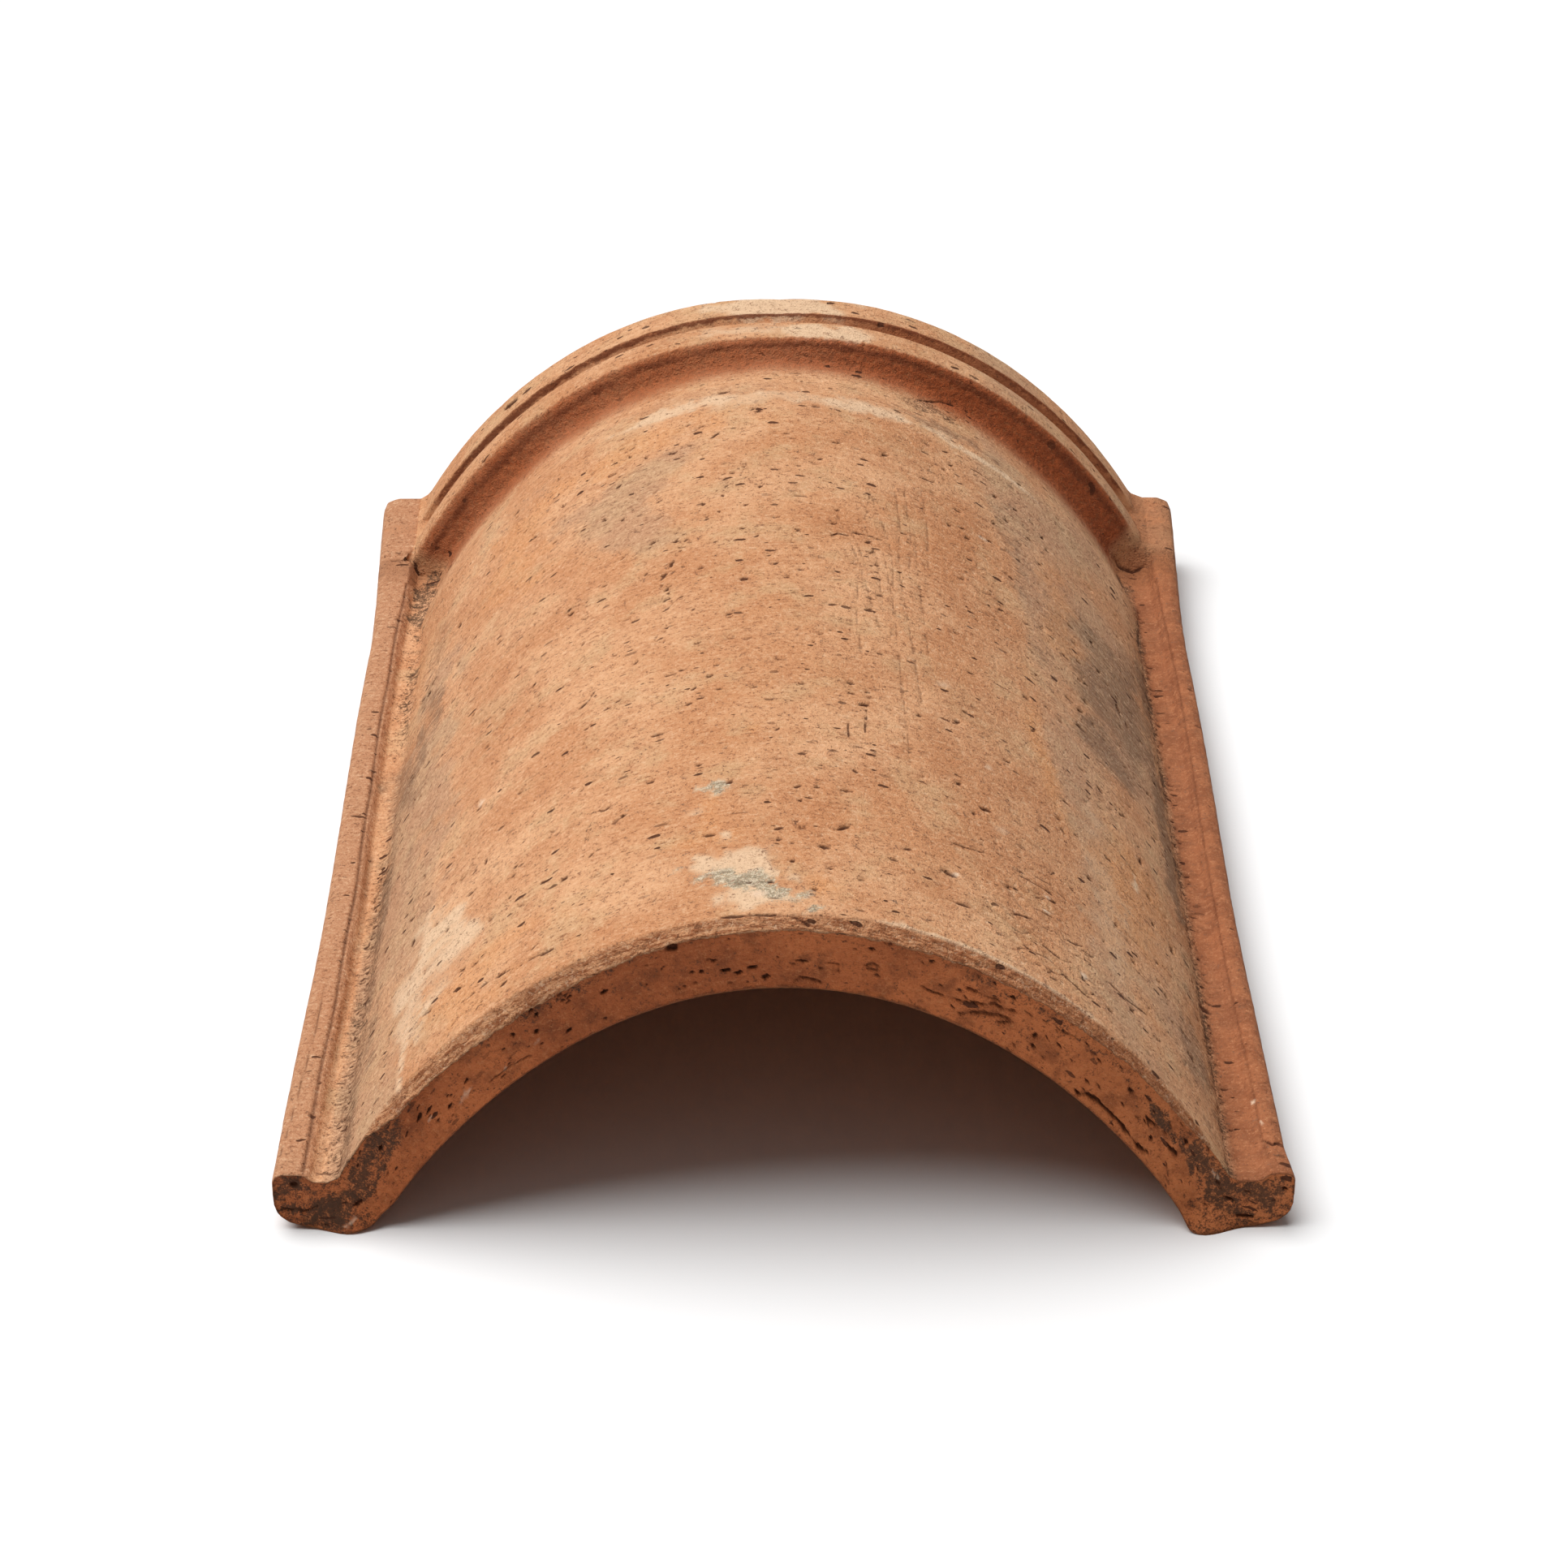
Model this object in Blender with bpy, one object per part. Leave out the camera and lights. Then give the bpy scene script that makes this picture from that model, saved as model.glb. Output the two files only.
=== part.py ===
"""A curved clay ridge tile: an arched wall standing on two lipped flanges, with a moulded collar at one end.

The tile is one pressed lump of fired clay. It is made here as a loft: the same cross-section, an arch on
two feet, is drawn again and again along the length, and each drawing differs a little where the clay does.
X runs across the tile, Y along it (the plain end at -Y, the collar end at +Y) and Z up. The origin is on
the ground, under the middle.
"""

import math

import bmesh
import bpy

# The whole tile, in metres
LENGTH = 0.343
LEFT_EDGE = 0.1160     # from the arch's centre line to the edge of each flange
RIGHT_EDGE = 0.1148
EDGE_WAVE = 0.0005     # the edges were trimmed by hand, so they run in and out a little
EDGE_WAVE_LENGTH = 0.230

# The arch: its hollow underside, and the clay on top of it
HOLLOW_HALF_SPAN = 0.0925
HOLLOW_RISE = 0.065
SHOULDER_POWER = 1.74
WALL_AT_CROWN = 0.0176
WALL_LOST_AT_FOOT = 0.0034

# The flanges: a shallow trough between the wall and a raised lip, on each side
TROUGH_INNER_EDGE = 0.1035
TROUGH_HEIGHT_PLAIN_END = 0.0136
TROUGH_HEIGHT_COLLAR_END = 0.0122
TROUGH_LEAST_WIDTH = 0.0006
WALL_FOOT_FILLET = 0.0012
LIP_HEIGHT = 0.0156
LIP_WIDTH_LEFT = 0.0082
LIP_WIDTH_RIGHT = 0.0056
LIP_SLOPE = 0.0016
LIP_ARRIS = 0.0003
LIP_CORNER = 0.0025

# The feet: flat on the ground under the wall, and tapering up towards the flange's edge
FOOT_INNER_EDGE = 0.0943
FOOT_OUTER_EDGE = 0.1030
FOOT_CORNER = 0.0026

# The belly under the flange's edge: its height, and the points of its curve, as shares of that height
# in from the edge and up from the ground
BELLY_HEIGHT = 0.0094
BELLY_CURVE = ((0.10, 0.48), (0.38, 0.23), (0.82, 0.09))

# The ears: the lips swell and spread beside the collar, and close the troughs
EAR_HEIGHT = 0.0229
EAR_CORNER = 0.0045
EAR_FLARE = 0.0032
EAR_FLARE_START = 0.2530
EAR_BANKED_OUT = 0.0018    # the ear's clay is banked up against the wall
EAR_BANKED_UP = 0.0013
TROUGH_CLOSES = 0.3095
TROUGH_CLOSED = 0.3165

# The ears' rise from lip to full height: place along the tile, and share of the rise
EAR_RISE = (
    (0.2850, 0.00),
    (0.3130, 0.20),    # foot of a small step
    (0.3155, 0.34),    # top of the step
    (0.3430, 1.00),
)

# The collar: how far its band stands proud of the wall, at the crown and on the haunches
COLLAR_RISE_AT_CROWN = 0.0041
COLLAR_RISE_ON_HAUNCH = 0.0078
HAUNCH_ANGLE = 0.98
COLLAR_SKEW = 0.02     # the moulding was run a little askew, so it lies nearer the end on the right

# Its moulding, from the plain wall to the band: place along the tile, and share of the full rise
COLLAR_MOULDING = (
    (0.2620, 0.00),    # plain wall
    (0.2775, 0.10),    # soft raised line
    (0.2950, -0.20),   # hollow
    (0.3055, 0.02),    # foot of the steep front
    (0.3170, 0.86),    # rib
    (0.3262, 0.58),    # groove
    (0.3335, 1.00),    # band
    (0.3430, 1.00),    # collar end
)

# Worn edges where the section ends
PLAIN_END_ROUND = 0.0030
COLLAR_END_ROUND = 0.0024
WEAR_ON_FLANGE = 0.40
WEAR_UNDER_FEET = 0.10

# Where the middle of a quarter round lies, in radii from the square corner
ROUND_MIDDLE = 1.0 - math.sqrt(0.5)

# How finely the shape is drawn
WORN_END_STEPS = (0.0, 0.12, 0.4, 1.0)
WALL_STEPS = 18
HOLLOW_STEPS = 13
PLAIN_STEPS = 7
MOULDING_STEPS = 5

TILE_COLOUR = (0.46, 0.20, 0.10, 1.0)


def eased(share):
    """Turns a straight 0..1 change into one that starts and stops softly."""
    share = min(1.0, max(0.0, share))
    return share * share * (3.0 - 2.0 * share)


def mixed(low, high, share):
    return low + (high - low) * share


def profile_share(profile, along):
    """Reads a profile, a row of places and shares with soft steps between them, at one place."""
    if along <= profile[0][0]:
        return profile[0][1]
    for (start, low), (end, high) in zip(profile, profile[1:]):
        if along <= end:
            return mixed(low, high, eased((along - start) / (end - start)))
    return profile[-1][1]


def end_wear(along):
    """How far the surface falls back where the clay is rounded towards either end."""
    for distance, radius in ((along, PLAIN_END_ROUND), (LENGTH - along, COLLAR_END_ROUND)):
        if distance < radius:
            return radius - math.sqrt(radius ** 2 - (radius - distance) ** 2)
    return 0.0


def hollow_point(angle):
    """A point of the arch's underside, and the direction straight out through the clay there."""
    across = HOLLOW_HALF_SPAN * math.sin(angle)
    up = HOLLOW_RISE * math.cos(angle) ** SHOULDER_POWER
    run = HOLLOW_HALF_SPAN * math.cos(angle)
    fall = SHOULDER_POWER * HOLLOW_RISE * math.cos(angle) ** (SHOULDER_POWER - 1.0) * math.sin(angle)
    size = math.hypot(run, fall)
    return across, up, fall / size, run / size


def wall_point(angle, along, side):
    """A point of the arch's top, the wall's thickness away from the underside."""
    across, up, out_x, out_z = hollow_point(angle)
    wall = WALL_AT_CROWN - WALL_LOST_AT_FOOT * math.sin(angle) ** 4
    haunch = math.sin(math.pi / 2 * min(angle / HAUNCH_ANGLE, 1.0))
    collar = mixed(COLLAR_RISE_AT_CROWN, COLLAR_RISE_ON_HAUNCH, haunch)
    share = profile_share(COLLAR_MOULDING, along - COLLAR_SKEW * side * across)
    reach = wall + collar * share - end_wear(along)
    return across + out_x * reach, up + out_z * reach


def angle_where(height, heights_by_angle):
    """The angle at which a curve that falls from the crown has come down to a height."""
    low, high = 0.0, math.pi / 2
    for _ in range(30):
        middle = (low + high) / 2
        if heights_by_angle(middle) > height:
            low = middle
        else:
            high = middle
    return low


def flange_outline(along, side):
    """The flange from the foot of the wall, round its edge and under it to the inner edge of the foot."""
    wear = WEAR_ON_FLANGE * end_wear(along)
    wave = EDGE_WAVE * math.cos(2 * math.pi * along / EDGE_WAVE_LENGTH)
    flare = EAR_FLARE * eased((along - EAR_FLARE_START) / (LENGTH - EAR_FLARE_START))
    plain_edge = LEFT_EDGE if side < 0 else RIGHT_EDGE
    edge = plain_edge + wave + flare - wear
    lip_inner = plain_edge + wave - (LIP_WIDTH_LEFT if side < 0 else LIP_WIDTH_RIGHT)
    ear = profile_share(EAR_RISE, along)
    top = mixed(LIP_HEIGHT, EAR_HEIGHT, ear) - wear
    corner = mixed(LIP_CORNER, EAR_CORNER, ear)
    trough = mixed(TROUGH_HEIGHT_PLAIN_END, TROUGH_HEIGHT_COLLAR_END, along / LENGTH) - wear
    closed = eased((along - TROUGH_CLOSES) / (TROUGH_CLOSED - TROUGH_CLOSES))
    floor = mixed(trough, top, closed)
    upper = [
        (TROUGH_INNER_EDGE + EAR_BANKED_OUT * closed, floor + EAR_BANKED_UP * closed),
        (lip_inner - LIP_SLOPE * (1.0 - closed), floor),
        (lip_inner + LIP_ARRIS, top - LIP_ARRIS * (1.0 - closed)),
        (lip_inner + LIP_SLOPE, top),
        (edge - corner, top),
        (edge - ROUND_MIDDLE * corner, top - ROUND_MIDDLE * corner),
        (edge, top - corner),
    ]
    ground = WEAR_UNDER_FEET * end_wear(along)
    belly = [(edge - inward * BELLY_HEIGHT, up * BELLY_HEIGHT + ground) for inward, up in BELLY_CURVE]
    foot = [
        (FOOT_OUTER_EDGE, ground),
        (FOOT_INNER_EDGE, ground),
        (FOOT_INNER_EDGE - (1.0 - ROUND_MIDDLE) * FOOT_CORNER, ROUND_MIDDLE * FOOT_CORNER + ground),
    ]
    return upper + [(edge, BELLY_HEIGHT)] + belly + foot


def half_section(along, side):
    """One side of the cross-section, from the top of the crown, round the flange, to under the crown.

    Where the collar's rib leans out over the trough, the trough's points move out with the wall's foot.
    """
    flange = flange_outline(along, side)
    meeting = flange[0][1] + WALL_FOOT_FILLET
    wall_end = angle_where(meeting, lambda angle: wall_point(angle, along, side)[1])
    hollow_end = angle_where(FOOT_CORNER, lambda angle: hollow_point(angle)[1])
    wall = [wall_point(wall_end * step / WALL_STEPS, along, side) for step in range(WALL_STEPS + 1)]
    for index, (across, up) in enumerate(flange[:3]):
        beside_wall = wall[-1][0] + (index + 1) * TROUGH_LEAST_WIDTH
        flange[index] = (max(across, beside_wall), up)
    hollow = [hollow_point(hollow_end * step / HOLLOW_STEPS)[:2] for step in range(HOLLOW_STEPS + 1)]
    return [(side * across, up) for across, up in wall + flange + hollow[::-1]]


def cross_section(along):
    """The closed outline at one place along the tile: out over the right side, back under the left."""
    right = half_section(along, 1)
    left = half_section(along, -1)
    return right + left[-2:0:-1]


def places_along():
    """Where a cross-section is drawn: close together only where the shape changes."""
    places = []
    for share in WORN_END_STEPS:
        places.append(PLAIN_END_ROUND * share)
        places.append(LENGTH - COLLAR_END_ROUND * share)
    plain_length = COLLAR_MOULDING[0][0]
    places += [plain_length * step / PLAIN_STEPS for step in range(1, PLAIN_STEPS + 1)]
    for (start, _), (end, _) in zip(COLLAR_MOULDING, COLLAR_MOULDING[1:-1]):
        places += [mixed(start, end, step / MOULDING_STEPS) for step in range(1, MOULDING_STEPS + 1)]
    places += [place for place, _ in EAR_RISE]
    return sorted(set(places))


def terracotta():
    material = bpy.data.materials.new("terracotta")
    material.use_nodes = True
    shader = material.node_tree.nodes["Principled BSDF"]
    shader.inputs["Base Color"].default_value = TILE_COLOUR
    shader.inputs["Roughness"].default_value = 0.85
    shader.inputs["Metallic"].default_value = 0.0
    return material


def clay_roof_tile(collection):
    """Joins the cross-sections into one closed body, with a flat face at each end."""
    shape = bmesh.new()
    rings = []
    for along in places_along():
        outline = cross_section(along)
        rings.append([shape.verts.new((across, along - LENGTH / 2, up)) for across, up in outline])
    for ring, following in zip(rings, rings[1:]):
        for index in range(len(ring)):
            after = (index + 1) % len(ring)
            shape.faces.new((ring[index], ring[after], following[after], following[index]))
    shape.faces.new(rings[0][::-1])
    shape.faces.new(rings[-1])
    bmesh.ops.recalc_face_normals(shape, faces=shape.faces)
    mesh = bpy.data.meshes.new("clay_roof_tile")
    shape.to_mesh(mesh)
    shape.free()
    mesh.materials.append(terracotta())
    mesh.shade_smooth()
    mesh.set_sharp_from_angle(angle=math.radians(40))
    tile = bpy.data.objects.new("clay_roof_tile", mesh)
    tile.location.x = (LEFT_EDGE - RIGHT_EDGE) / 2
    collection.objects.link(tile)
    return tile


def main():
    for item in list(bpy.data.objects):
        bpy.data.objects.remove(item, do_unlink=True)
    collection = bpy.data.collections.new("curved clay roof tile")
    bpy.context.scene.collection.children.link(collection)
    clay_roof_tile(collection)


main()
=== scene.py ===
import math

import bpy
import numpy as np
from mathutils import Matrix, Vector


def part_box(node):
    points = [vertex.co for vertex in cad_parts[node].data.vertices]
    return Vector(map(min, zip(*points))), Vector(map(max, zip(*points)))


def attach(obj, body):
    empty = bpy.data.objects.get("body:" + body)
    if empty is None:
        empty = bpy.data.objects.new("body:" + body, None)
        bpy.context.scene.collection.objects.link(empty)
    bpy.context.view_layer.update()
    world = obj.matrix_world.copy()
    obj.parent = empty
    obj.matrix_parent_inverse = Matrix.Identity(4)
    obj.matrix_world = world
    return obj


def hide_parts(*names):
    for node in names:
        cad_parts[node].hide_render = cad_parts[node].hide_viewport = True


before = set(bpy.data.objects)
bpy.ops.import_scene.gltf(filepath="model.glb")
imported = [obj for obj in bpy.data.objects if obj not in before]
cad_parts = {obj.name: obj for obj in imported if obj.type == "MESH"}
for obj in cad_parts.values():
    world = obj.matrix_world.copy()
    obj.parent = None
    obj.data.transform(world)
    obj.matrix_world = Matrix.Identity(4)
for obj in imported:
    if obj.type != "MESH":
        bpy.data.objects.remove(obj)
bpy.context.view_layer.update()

scene = bpy.context.scene


# The camera stands in front of the plain end, a little over an arm's length away, and looks down on the tile.
# It is a long lens, so the sides of the tile draw together only slowly.
IMAGE_SIDE = 1932
FOCAL_LENGTH = 5000
SENSOR = 36
CAMERA_AT = (-0.0023, -0.9294, 0.5437)
LOOKS_DOWN = 29.4
TURNS_RIGHT = 0.22

camera_data = bpy.data.cameras.new("camera")
camera_data.sensor_width = SENSOR
camera_data.lens = SENSOR * FOCAL_LENGTH / IMAGE_SIDE
camera = bpy.data.objects.new("camera", camera_data)
camera.location = CAMERA_AT
camera.rotation_euler = (math.radians(90 - LOOKS_DOWN), 0, -math.radians(TURNS_RIGHT))
scene.collection.objects.link(camera)
scene.camera = camera


# The tile's form: an arched wall between two lipped flanges, with a moulded collar at the far end. A slab of
# clay was pressed over a hump, the flanges were trimmed with a wire, and the collar was run with a template.
MM = 0.001
low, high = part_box("clay_roof_tile")
LENGTH = (high.y - low.y) / MM
ARCH_RIGHT_OF_MIDDLE = 0.6

LEFT_EDGE, RIGHT_EDGE = 116, 114.8
EDGE_WAVE, EDGE_WAVE_LENGTH = 0.5, 230
RIGHT_CORNER_BULGE = 1.2
HOLLOW_HALF_SPAN, HOLLOW_RISE, SHOULDER_POWER = 92.5, 65, 1.74
WALL_AT_CROWN, WALL_LOST_AT_FOOT = 17.6, 3.4

TROUGH_INNER_EDGE = 103.5
TROUGH_HEIGHT_PLAIN_END, TROUGH_HEIGHT_COLLAR_END = 13.6, 12.2
TROUGH_LEAST_WIDTH = 0.6
WALL_FOOT_FILLET = 1.2
LIP_HEIGHT, LIP_WIDTH_LEFT, LIP_WIDTH_RIGHT = 15.6, 8.2, 5.6
LIP_SLOPE, LIP_ARRIS, LIP_CORNER = 1.6, 0.3, 2.5

FOOT_INNER_EDGE, FOOT_OUTER_EDGE, FOOT_CORNER = 94.3, 103, 2.6
BELLY_HEIGHT = 9.4
BELLY_CURVE = ((0.10, 0.48), (0.38, 0.23), (0.82, 0.09))
ROUND_MIDDLE = 1 - math.sqrt(0.5)

EAR_HEIGHT, EAR_CORNER, EAR_FLARE, EAR_FLARE_START = 22.9, 4.5, 3.2, 253
EAR_BANKED_OUT, EAR_BANKED_UP = 1.8, 1.3
TROUGH_CLOSES, TROUGH_CLOSED = 309.5, 316.5
EAR_RISE = ((285, 0.00), (313, 0.20), (315.5, 0.34), (LENGTH, 1.00))

COLLAR_RISE_AT_CROWN, COLLAR_RISE_ON_HAUNCH, HAUNCH_ANGLE = 4.1, 7.8, 0.98
COLLAR_SKEW = 0.02
COLLAR_MOULDING = (
    (262, 0.00),
    (277.5, 0.10),  # soft raised line
    (296, -0.08),  # hollow
    (309.6, -0.08),  # foot of the steep front
    (314.6, 0.86),
    (319, 0.94),  # rib
    (324.8, 0.86),
    (328.2, 0.46),  # groove
    (330.4, 0.99),  # band
    (LENGTH, 1.00),
)
COVE_DEPTH = 1.5


def eased(share):
    share = np.clip(share, 0, 1)
    return share * share * (3 - 2 * share)


def mixed(one, other, share):
    return one + (other - one) * share


def run_of(profile, along):
    """Reads a profile, a row of places and heights with soft steps between them."""
    places, heights = np.array(profile).T
    step = np.clip(np.searchsorted(places, along) - 1, 0, len(places) - 2)
    share = (along - places[step]) / (places[step + 1] - places[step])
    return mixed(heights[step], heights[step + 1], eased(share))


def hollow_at(angle):
    """The underside of the arch, and the direction out through the clay."""
    across = HOLLOW_HALF_SPAN * np.sin(angle)
    up = HOLLOW_RISE * np.cos(angle) ** SHOULDER_POWER
    run = HOLLOW_HALF_SPAN * np.cos(angle)
    fall = SHOULDER_POWER * HOLLOW_RISE * np.cos(angle) ** (SHOULDER_POWER - 1) * np.sin(angle)
    size = np.hypot(run, fall)
    return across, up, fall / size, run / size


def wall_at(angle, along, side):
    """The top of the arch, the wall's thickness away, with the collar's moulding on it."""
    across, up, out_x, out_z = hollow_at(angle)
    wall = WALL_AT_CROWN - WALL_LOST_AT_FOOT * np.sin(angle) ** 4
    haunch = np.sin(np.pi / 2 * np.minimum(angle / HAUNCH_ANGLE, 1))
    collar = mixed(COLLAR_RISE_AT_CROWN, COLLAR_RISE_ON_HAUNCH, haunch)
    skewed = along - COLLAR_SKEW * side * across
    cove = COVE_DEPTH * eased((skewed - 282) / 24) * eased((312.5 - skewed) / 5)
    reach = wall + collar * run_of(COLLAR_MOULDING, skewed) - cove
    return across + out_x * reach, up + out_z * reach


def angle_where(height, height_at):
    """The angle, in each row, at which a curve that falls from the crown has come down to a height."""
    under, over = np.zeros_like(height), np.full_like(height, np.pi / 2)
    for _ in range(30):
        middle = (under + over) / 2
        above = height_at(middle) > height
        under, over = np.where(above, middle, under), np.where(above, over, middle)
    return under


def flange_corners(along, side):
    """Corners of the flange in each row: over its lip to the edge, and from the edge under it to the foot."""
    wave = EDGE_WAVE * np.cos(2 * np.pi * along / EDGE_WAVE_LENGTH)
    flare = EAR_FLARE * eased((along - EAR_FLARE_START) / (LENGTH - EAR_FLARE_START))
    plain_edge = LEFT_EDGE if side < 0 else RIGHT_EDGE
    edge = plain_edge + wave + flare + (RIGHT_CORNER_BULGE * eased(1 - along / 14) if side > 0 else 0)
    lip_inner = plain_edge + wave - (LIP_WIDTH_LEFT if side < 0 else LIP_WIDTH_RIGHT)
    ear = run_of(EAR_RISE, along)
    top = mixed(LIP_HEIGHT, EAR_HEIGHT, ear)
    corner = mixed(LIP_CORNER, EAR_CORNER, ear)
    trough = mixed(TROUGH_HEIGHT_PLAIN_END, TROUGH_HEIGHT_COLLAR_END, along / LENGTH)
    closed = eased((along - TROUGH_CLOSES) / (TROUGH_CLOSED - TROUGH_CLOSES))
    floor = mixed(trough, top, closed)
    belly = np.full_like(along, BELLY_HEIGHT)
    over = [
        (TROUGH_INNER_EDGE + EAR_BANKED_OUT * closed, floor + EAR_BANKED_UP * closed),
        (lip_inner - LIP_SLOPE * (1 - closed), floor),
        (lip_inner + LIP_ARRIS, top - LIP_ARRIS * (1 - closed)),
        (lip_inner + LIP_SLOPE, top),
        (edge - corner, top),
        (edge - ROUND_MIDDLE * corner, top - ROUND_MIDDLE * corner),
        (edge, top - corner),
        (edge, belly),
    ]
    ground = np.zeros_like(along)
    under = [(edge - inward * BELLY_HEIGHT, ground + up * BELLY_HEIGHT) for inward, up in BELLY_CURVE]
    under += [
        (ground + FOOT_OUTER_EDGE, ground),
        (ground + FOOT_INNER_EDGE, ground),
        (ground + FOOT_INNER_EDGE - (1 - ROUND_MIDDLE) * FOOT_CORNER, ground + ROUND_MIDDLE * FOOT_CORNER),
    ]
    return over, under


def drawn_between(corners, steps):
    """Points between corners, rows x points x 2, without the last corner."""
    spans = []
    for start, end, count in zip(corners, corners[1:], steps):
        share = np.arange(count) / count
        spans.append(np.stack([mixed(start[k][:, None], end[k][:, None], share) for k in (0, 1)], axis=2))
    return np.concatenate(spans, axis=1)


def softened(points, times):
    """Rounds the small corners of each row, and leaves its two ends."""
    for _ in range(times):
        points[:, 1:-1] = points[:, 1:-1] / 2 + (points[:, :-2] + points[:, 2:]) / 4
    return points


WALL_STEPS = 318
OVER_STEPS = (8, 6, 5, 3, 8, 3, 7, 2)
HOLLOW_STEPS = 92
UNDER_STEPS = (3, 4, 5, 3, 8, 3)
COARSER_UNDERNEATH = 3


def half_rows(along, side):
    """One side of every cross-section: over the top from crown to edge, and underneath from crown to edge."""
    over, under = flange_corners(along, side)
    meeting = over[0][1] + WALL_FOOT_FILLET
    wall_end = angle_where(meeting, lambda angle: wall_at(angle, along, side)[1])
    angles = wall_end[:, None] * np.arange(WALL_STEPS + 1) / WALL_STEPS
    wall = np.stack(wall_at(angles, along[:, None], side), axis=2)
    foot = wall[:, -1, 0]
    for index in range(3):
        over[index] = (np.maximum(over[index][0], foot + (index + 1) * TROUGH_LEAST_WIDTH), over[index][1])
    wall_foot = (foot, wall[:, -1, 1])
    flange = drawn_between([wall_foot] + over, OVER_STEPS)
    tip = np.stack(over[-1], axis=1)[:, None]
    top = softened(np.concatenate([wall[:, :-1], flange, tip], axis=1), 1)
    hollow_end = angle_where(np.full_like(along, FOOT_CORNER), lambda angle: hollow_at(angle)[1])
    angles = hollow_end[:, None] * np.arange(HOLLOW_STEPS + 1) / HOLLOW_STEPS
    hollow = np.stack(hollow_at(angles)[:2], axis=2)
    inner = (hollow[:, -1, 0], hollow[:, -1, 1])
    foot_to_edge = drawn_between([inner] + under[::-1] + [over[-1]], UNDER_STEPS + (2,))
    bottom = softened(np.concatenate([hollow[:, :-1], foot_to_edge, tip], axis=1), 1)
    for points in (top, bottom):
        points[:, :, 0] *= side
    return top, bottom


ROWS = ((0, 8, 0.27), (8, 255, 0.45), (255, 336, 0.36), (336, LENGTH, 0.3))
along = np.concatenate([np.linspace(a, b, round((b - a) / step), endpoint=False) for a, b, step in ROWS])
along = np.append(along, LENGTH)
right_top, right_bottom = half_rows(along, 1)
left_top, left_bottom = half_rows(along, -1)
top = np.concatenate([left_top[:, :0:-1], right_top], axis=1)
bottom = np.concatenate([left_bottom[:, :0:-1], right_bottom], axis=1)


def lengths_over(half_left, half_right, tips=(None, None)):
    """How far each point of a cross-section lies from the crown, along the surface: left is negative."""
    middle = len(half_left) // 2
    lengths = []
    for half, tip in zip((half_left[middle], half_right[middle]), tips):
        steps = np.linalg.norm(np.diff(half, axis=0), axis=1)
        places = np.concatenate([[0], np.cumsum(steps)])
        lengths.append(places * (tip / places[-1] if tip else 1))
    return np.concatenate([-lengths[0][:0:-1], lengths[1]])


across_top = lengths_over(left_top, right_top)
across_bottom = lengths_over(left_bottom, right_bottom, (-across_top[0], across_top[-1]))


# The marks in the clay: the hand-made skin is never quite even, grit and air left pores and pits, tools and
# fingers scratched and smeared it while it was wet, and both ends are worn where tiles knock together.
def waves(across, along, size, seed):
    """Smooth random waves of about the size given, from -1 to 1, over the unrolled clay."""
    lattice = np.random.default_rng(seed).uniform(-1, 1, (512, 512))
    turned = (across * 0.8 + along * 0.6) / size + 300, (along * 0.8 - across * 0.6) / size + 300
    column, row = (np.floor(place).astype(int) for place in turned)
    right, up = eased(turned[0] - column), eased(turned[1] - row)
    near = mixed(lattice[row % 512, column % 512], lattice[row % 512, (column + 1) % 512], right)
    far = mixed(lattice[(row + 1) % 512, column % 512], lattice[(row + 1) % 512, (column + 1) % 512], right)
    return mixed(near, far, up)


class Skin:
    """A part of the tile's surface laid flat, how deep the marks in it are, and how dark the painted shade in
    them is.
    """

    def __init__(self, across, along, seed):
        self.across, self.along = np.broadcast_arrays(across, along)
        coarse, fine = (waves(self.across, self.along, size, seed) for size in (0.9, 0.5))
        self.crumbs = 0.6 * coarse + 0.4 * fine
        self.dents = np.zeros(self.across.shape)
        self.dark = np.zeros(self.across.shape)

    def near(self, left, right, low, high):
        """The rows and columns that cover an oblong."""
        columns = slice(*np.searchsorted(self.across[0], (left, right)))
        strip = self.along[:, columns]
        rows = np.flatnonzero(((strip > low) & (strip < high)).any(axis=1))
        return slice(rows[0], rows[-1] + 1) if len(rows) else slice(0), columns

    # The darkness of a mark is painted shade in its hollow; its depth is real relief.
    def mark(self, spot, share, depth, dark):
        share = np.clip(share, 0, 1)
        self.dents[spot] = np.maximum(self.dents[spot], depth * share)
        self.dark[spot] = np.maximum(self.dark[spot], dark * share)

    def press(self, across, along, long, wide, tilt, depth, dark):
        """An oval pit: where its middle is, half its length and width, its tilt in degrees and its depth."""
        spot = self.near(across - long, across + long, along - long, along + long)
        right, up = self.across[spot] - across, self.along[spot] - along
        turn = math.radians(tilt)
        lengthwise = (right * math.cos(turn) + up * math.sin(turn)) / long
        sideways = (up * math.cos(turn) - right * math.sin(turn)) / wide
        distance = (lengthwise ** 2 + sideways ** 2) * (1 + 0.5 * self.crumbs[spot])
        self.mark(spot, 2.4 * (1 - distance), depth, dark)

    def score(self, width, depth, dark, line, rough=1):
        """A crack or a scratch along a line of places, with its borders more or less rough."""
        places = np.array(line)
        margin = 2 * width + 1
        (left, low), (right, high) = places.min(axis=0) - margin, places.max(axis=0) + margin
        spot = self.near(left, right, low, high)
        across, along = self.across[spot], self.along[spot]
        nearest = np.full(across.shape, 1e9)
        for (a, b), (c, d) in zip(places, places[1:]):
            share = ((across - a) * (c - a) + (along - b) * (d - b)) / ((c - a) ** 2 + (d - b) ** 2)
            share = np.clip(share, 0, 1)
            nearest = np.minimum(nearest, np.hypot(across - a - share * (c - a), along - b - share * (d - b)))
        nearest = nearest + rough * width * (0.7 * self.crumbs[spot] + waves(across, along, 2.4, 3))
        self.mark(spot, 1.4 - nearest / width, depth, dark)


across, up_along = across_top[None, :], along[:, None]
upper_skin = Skin(across, up_along, 21)

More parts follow.
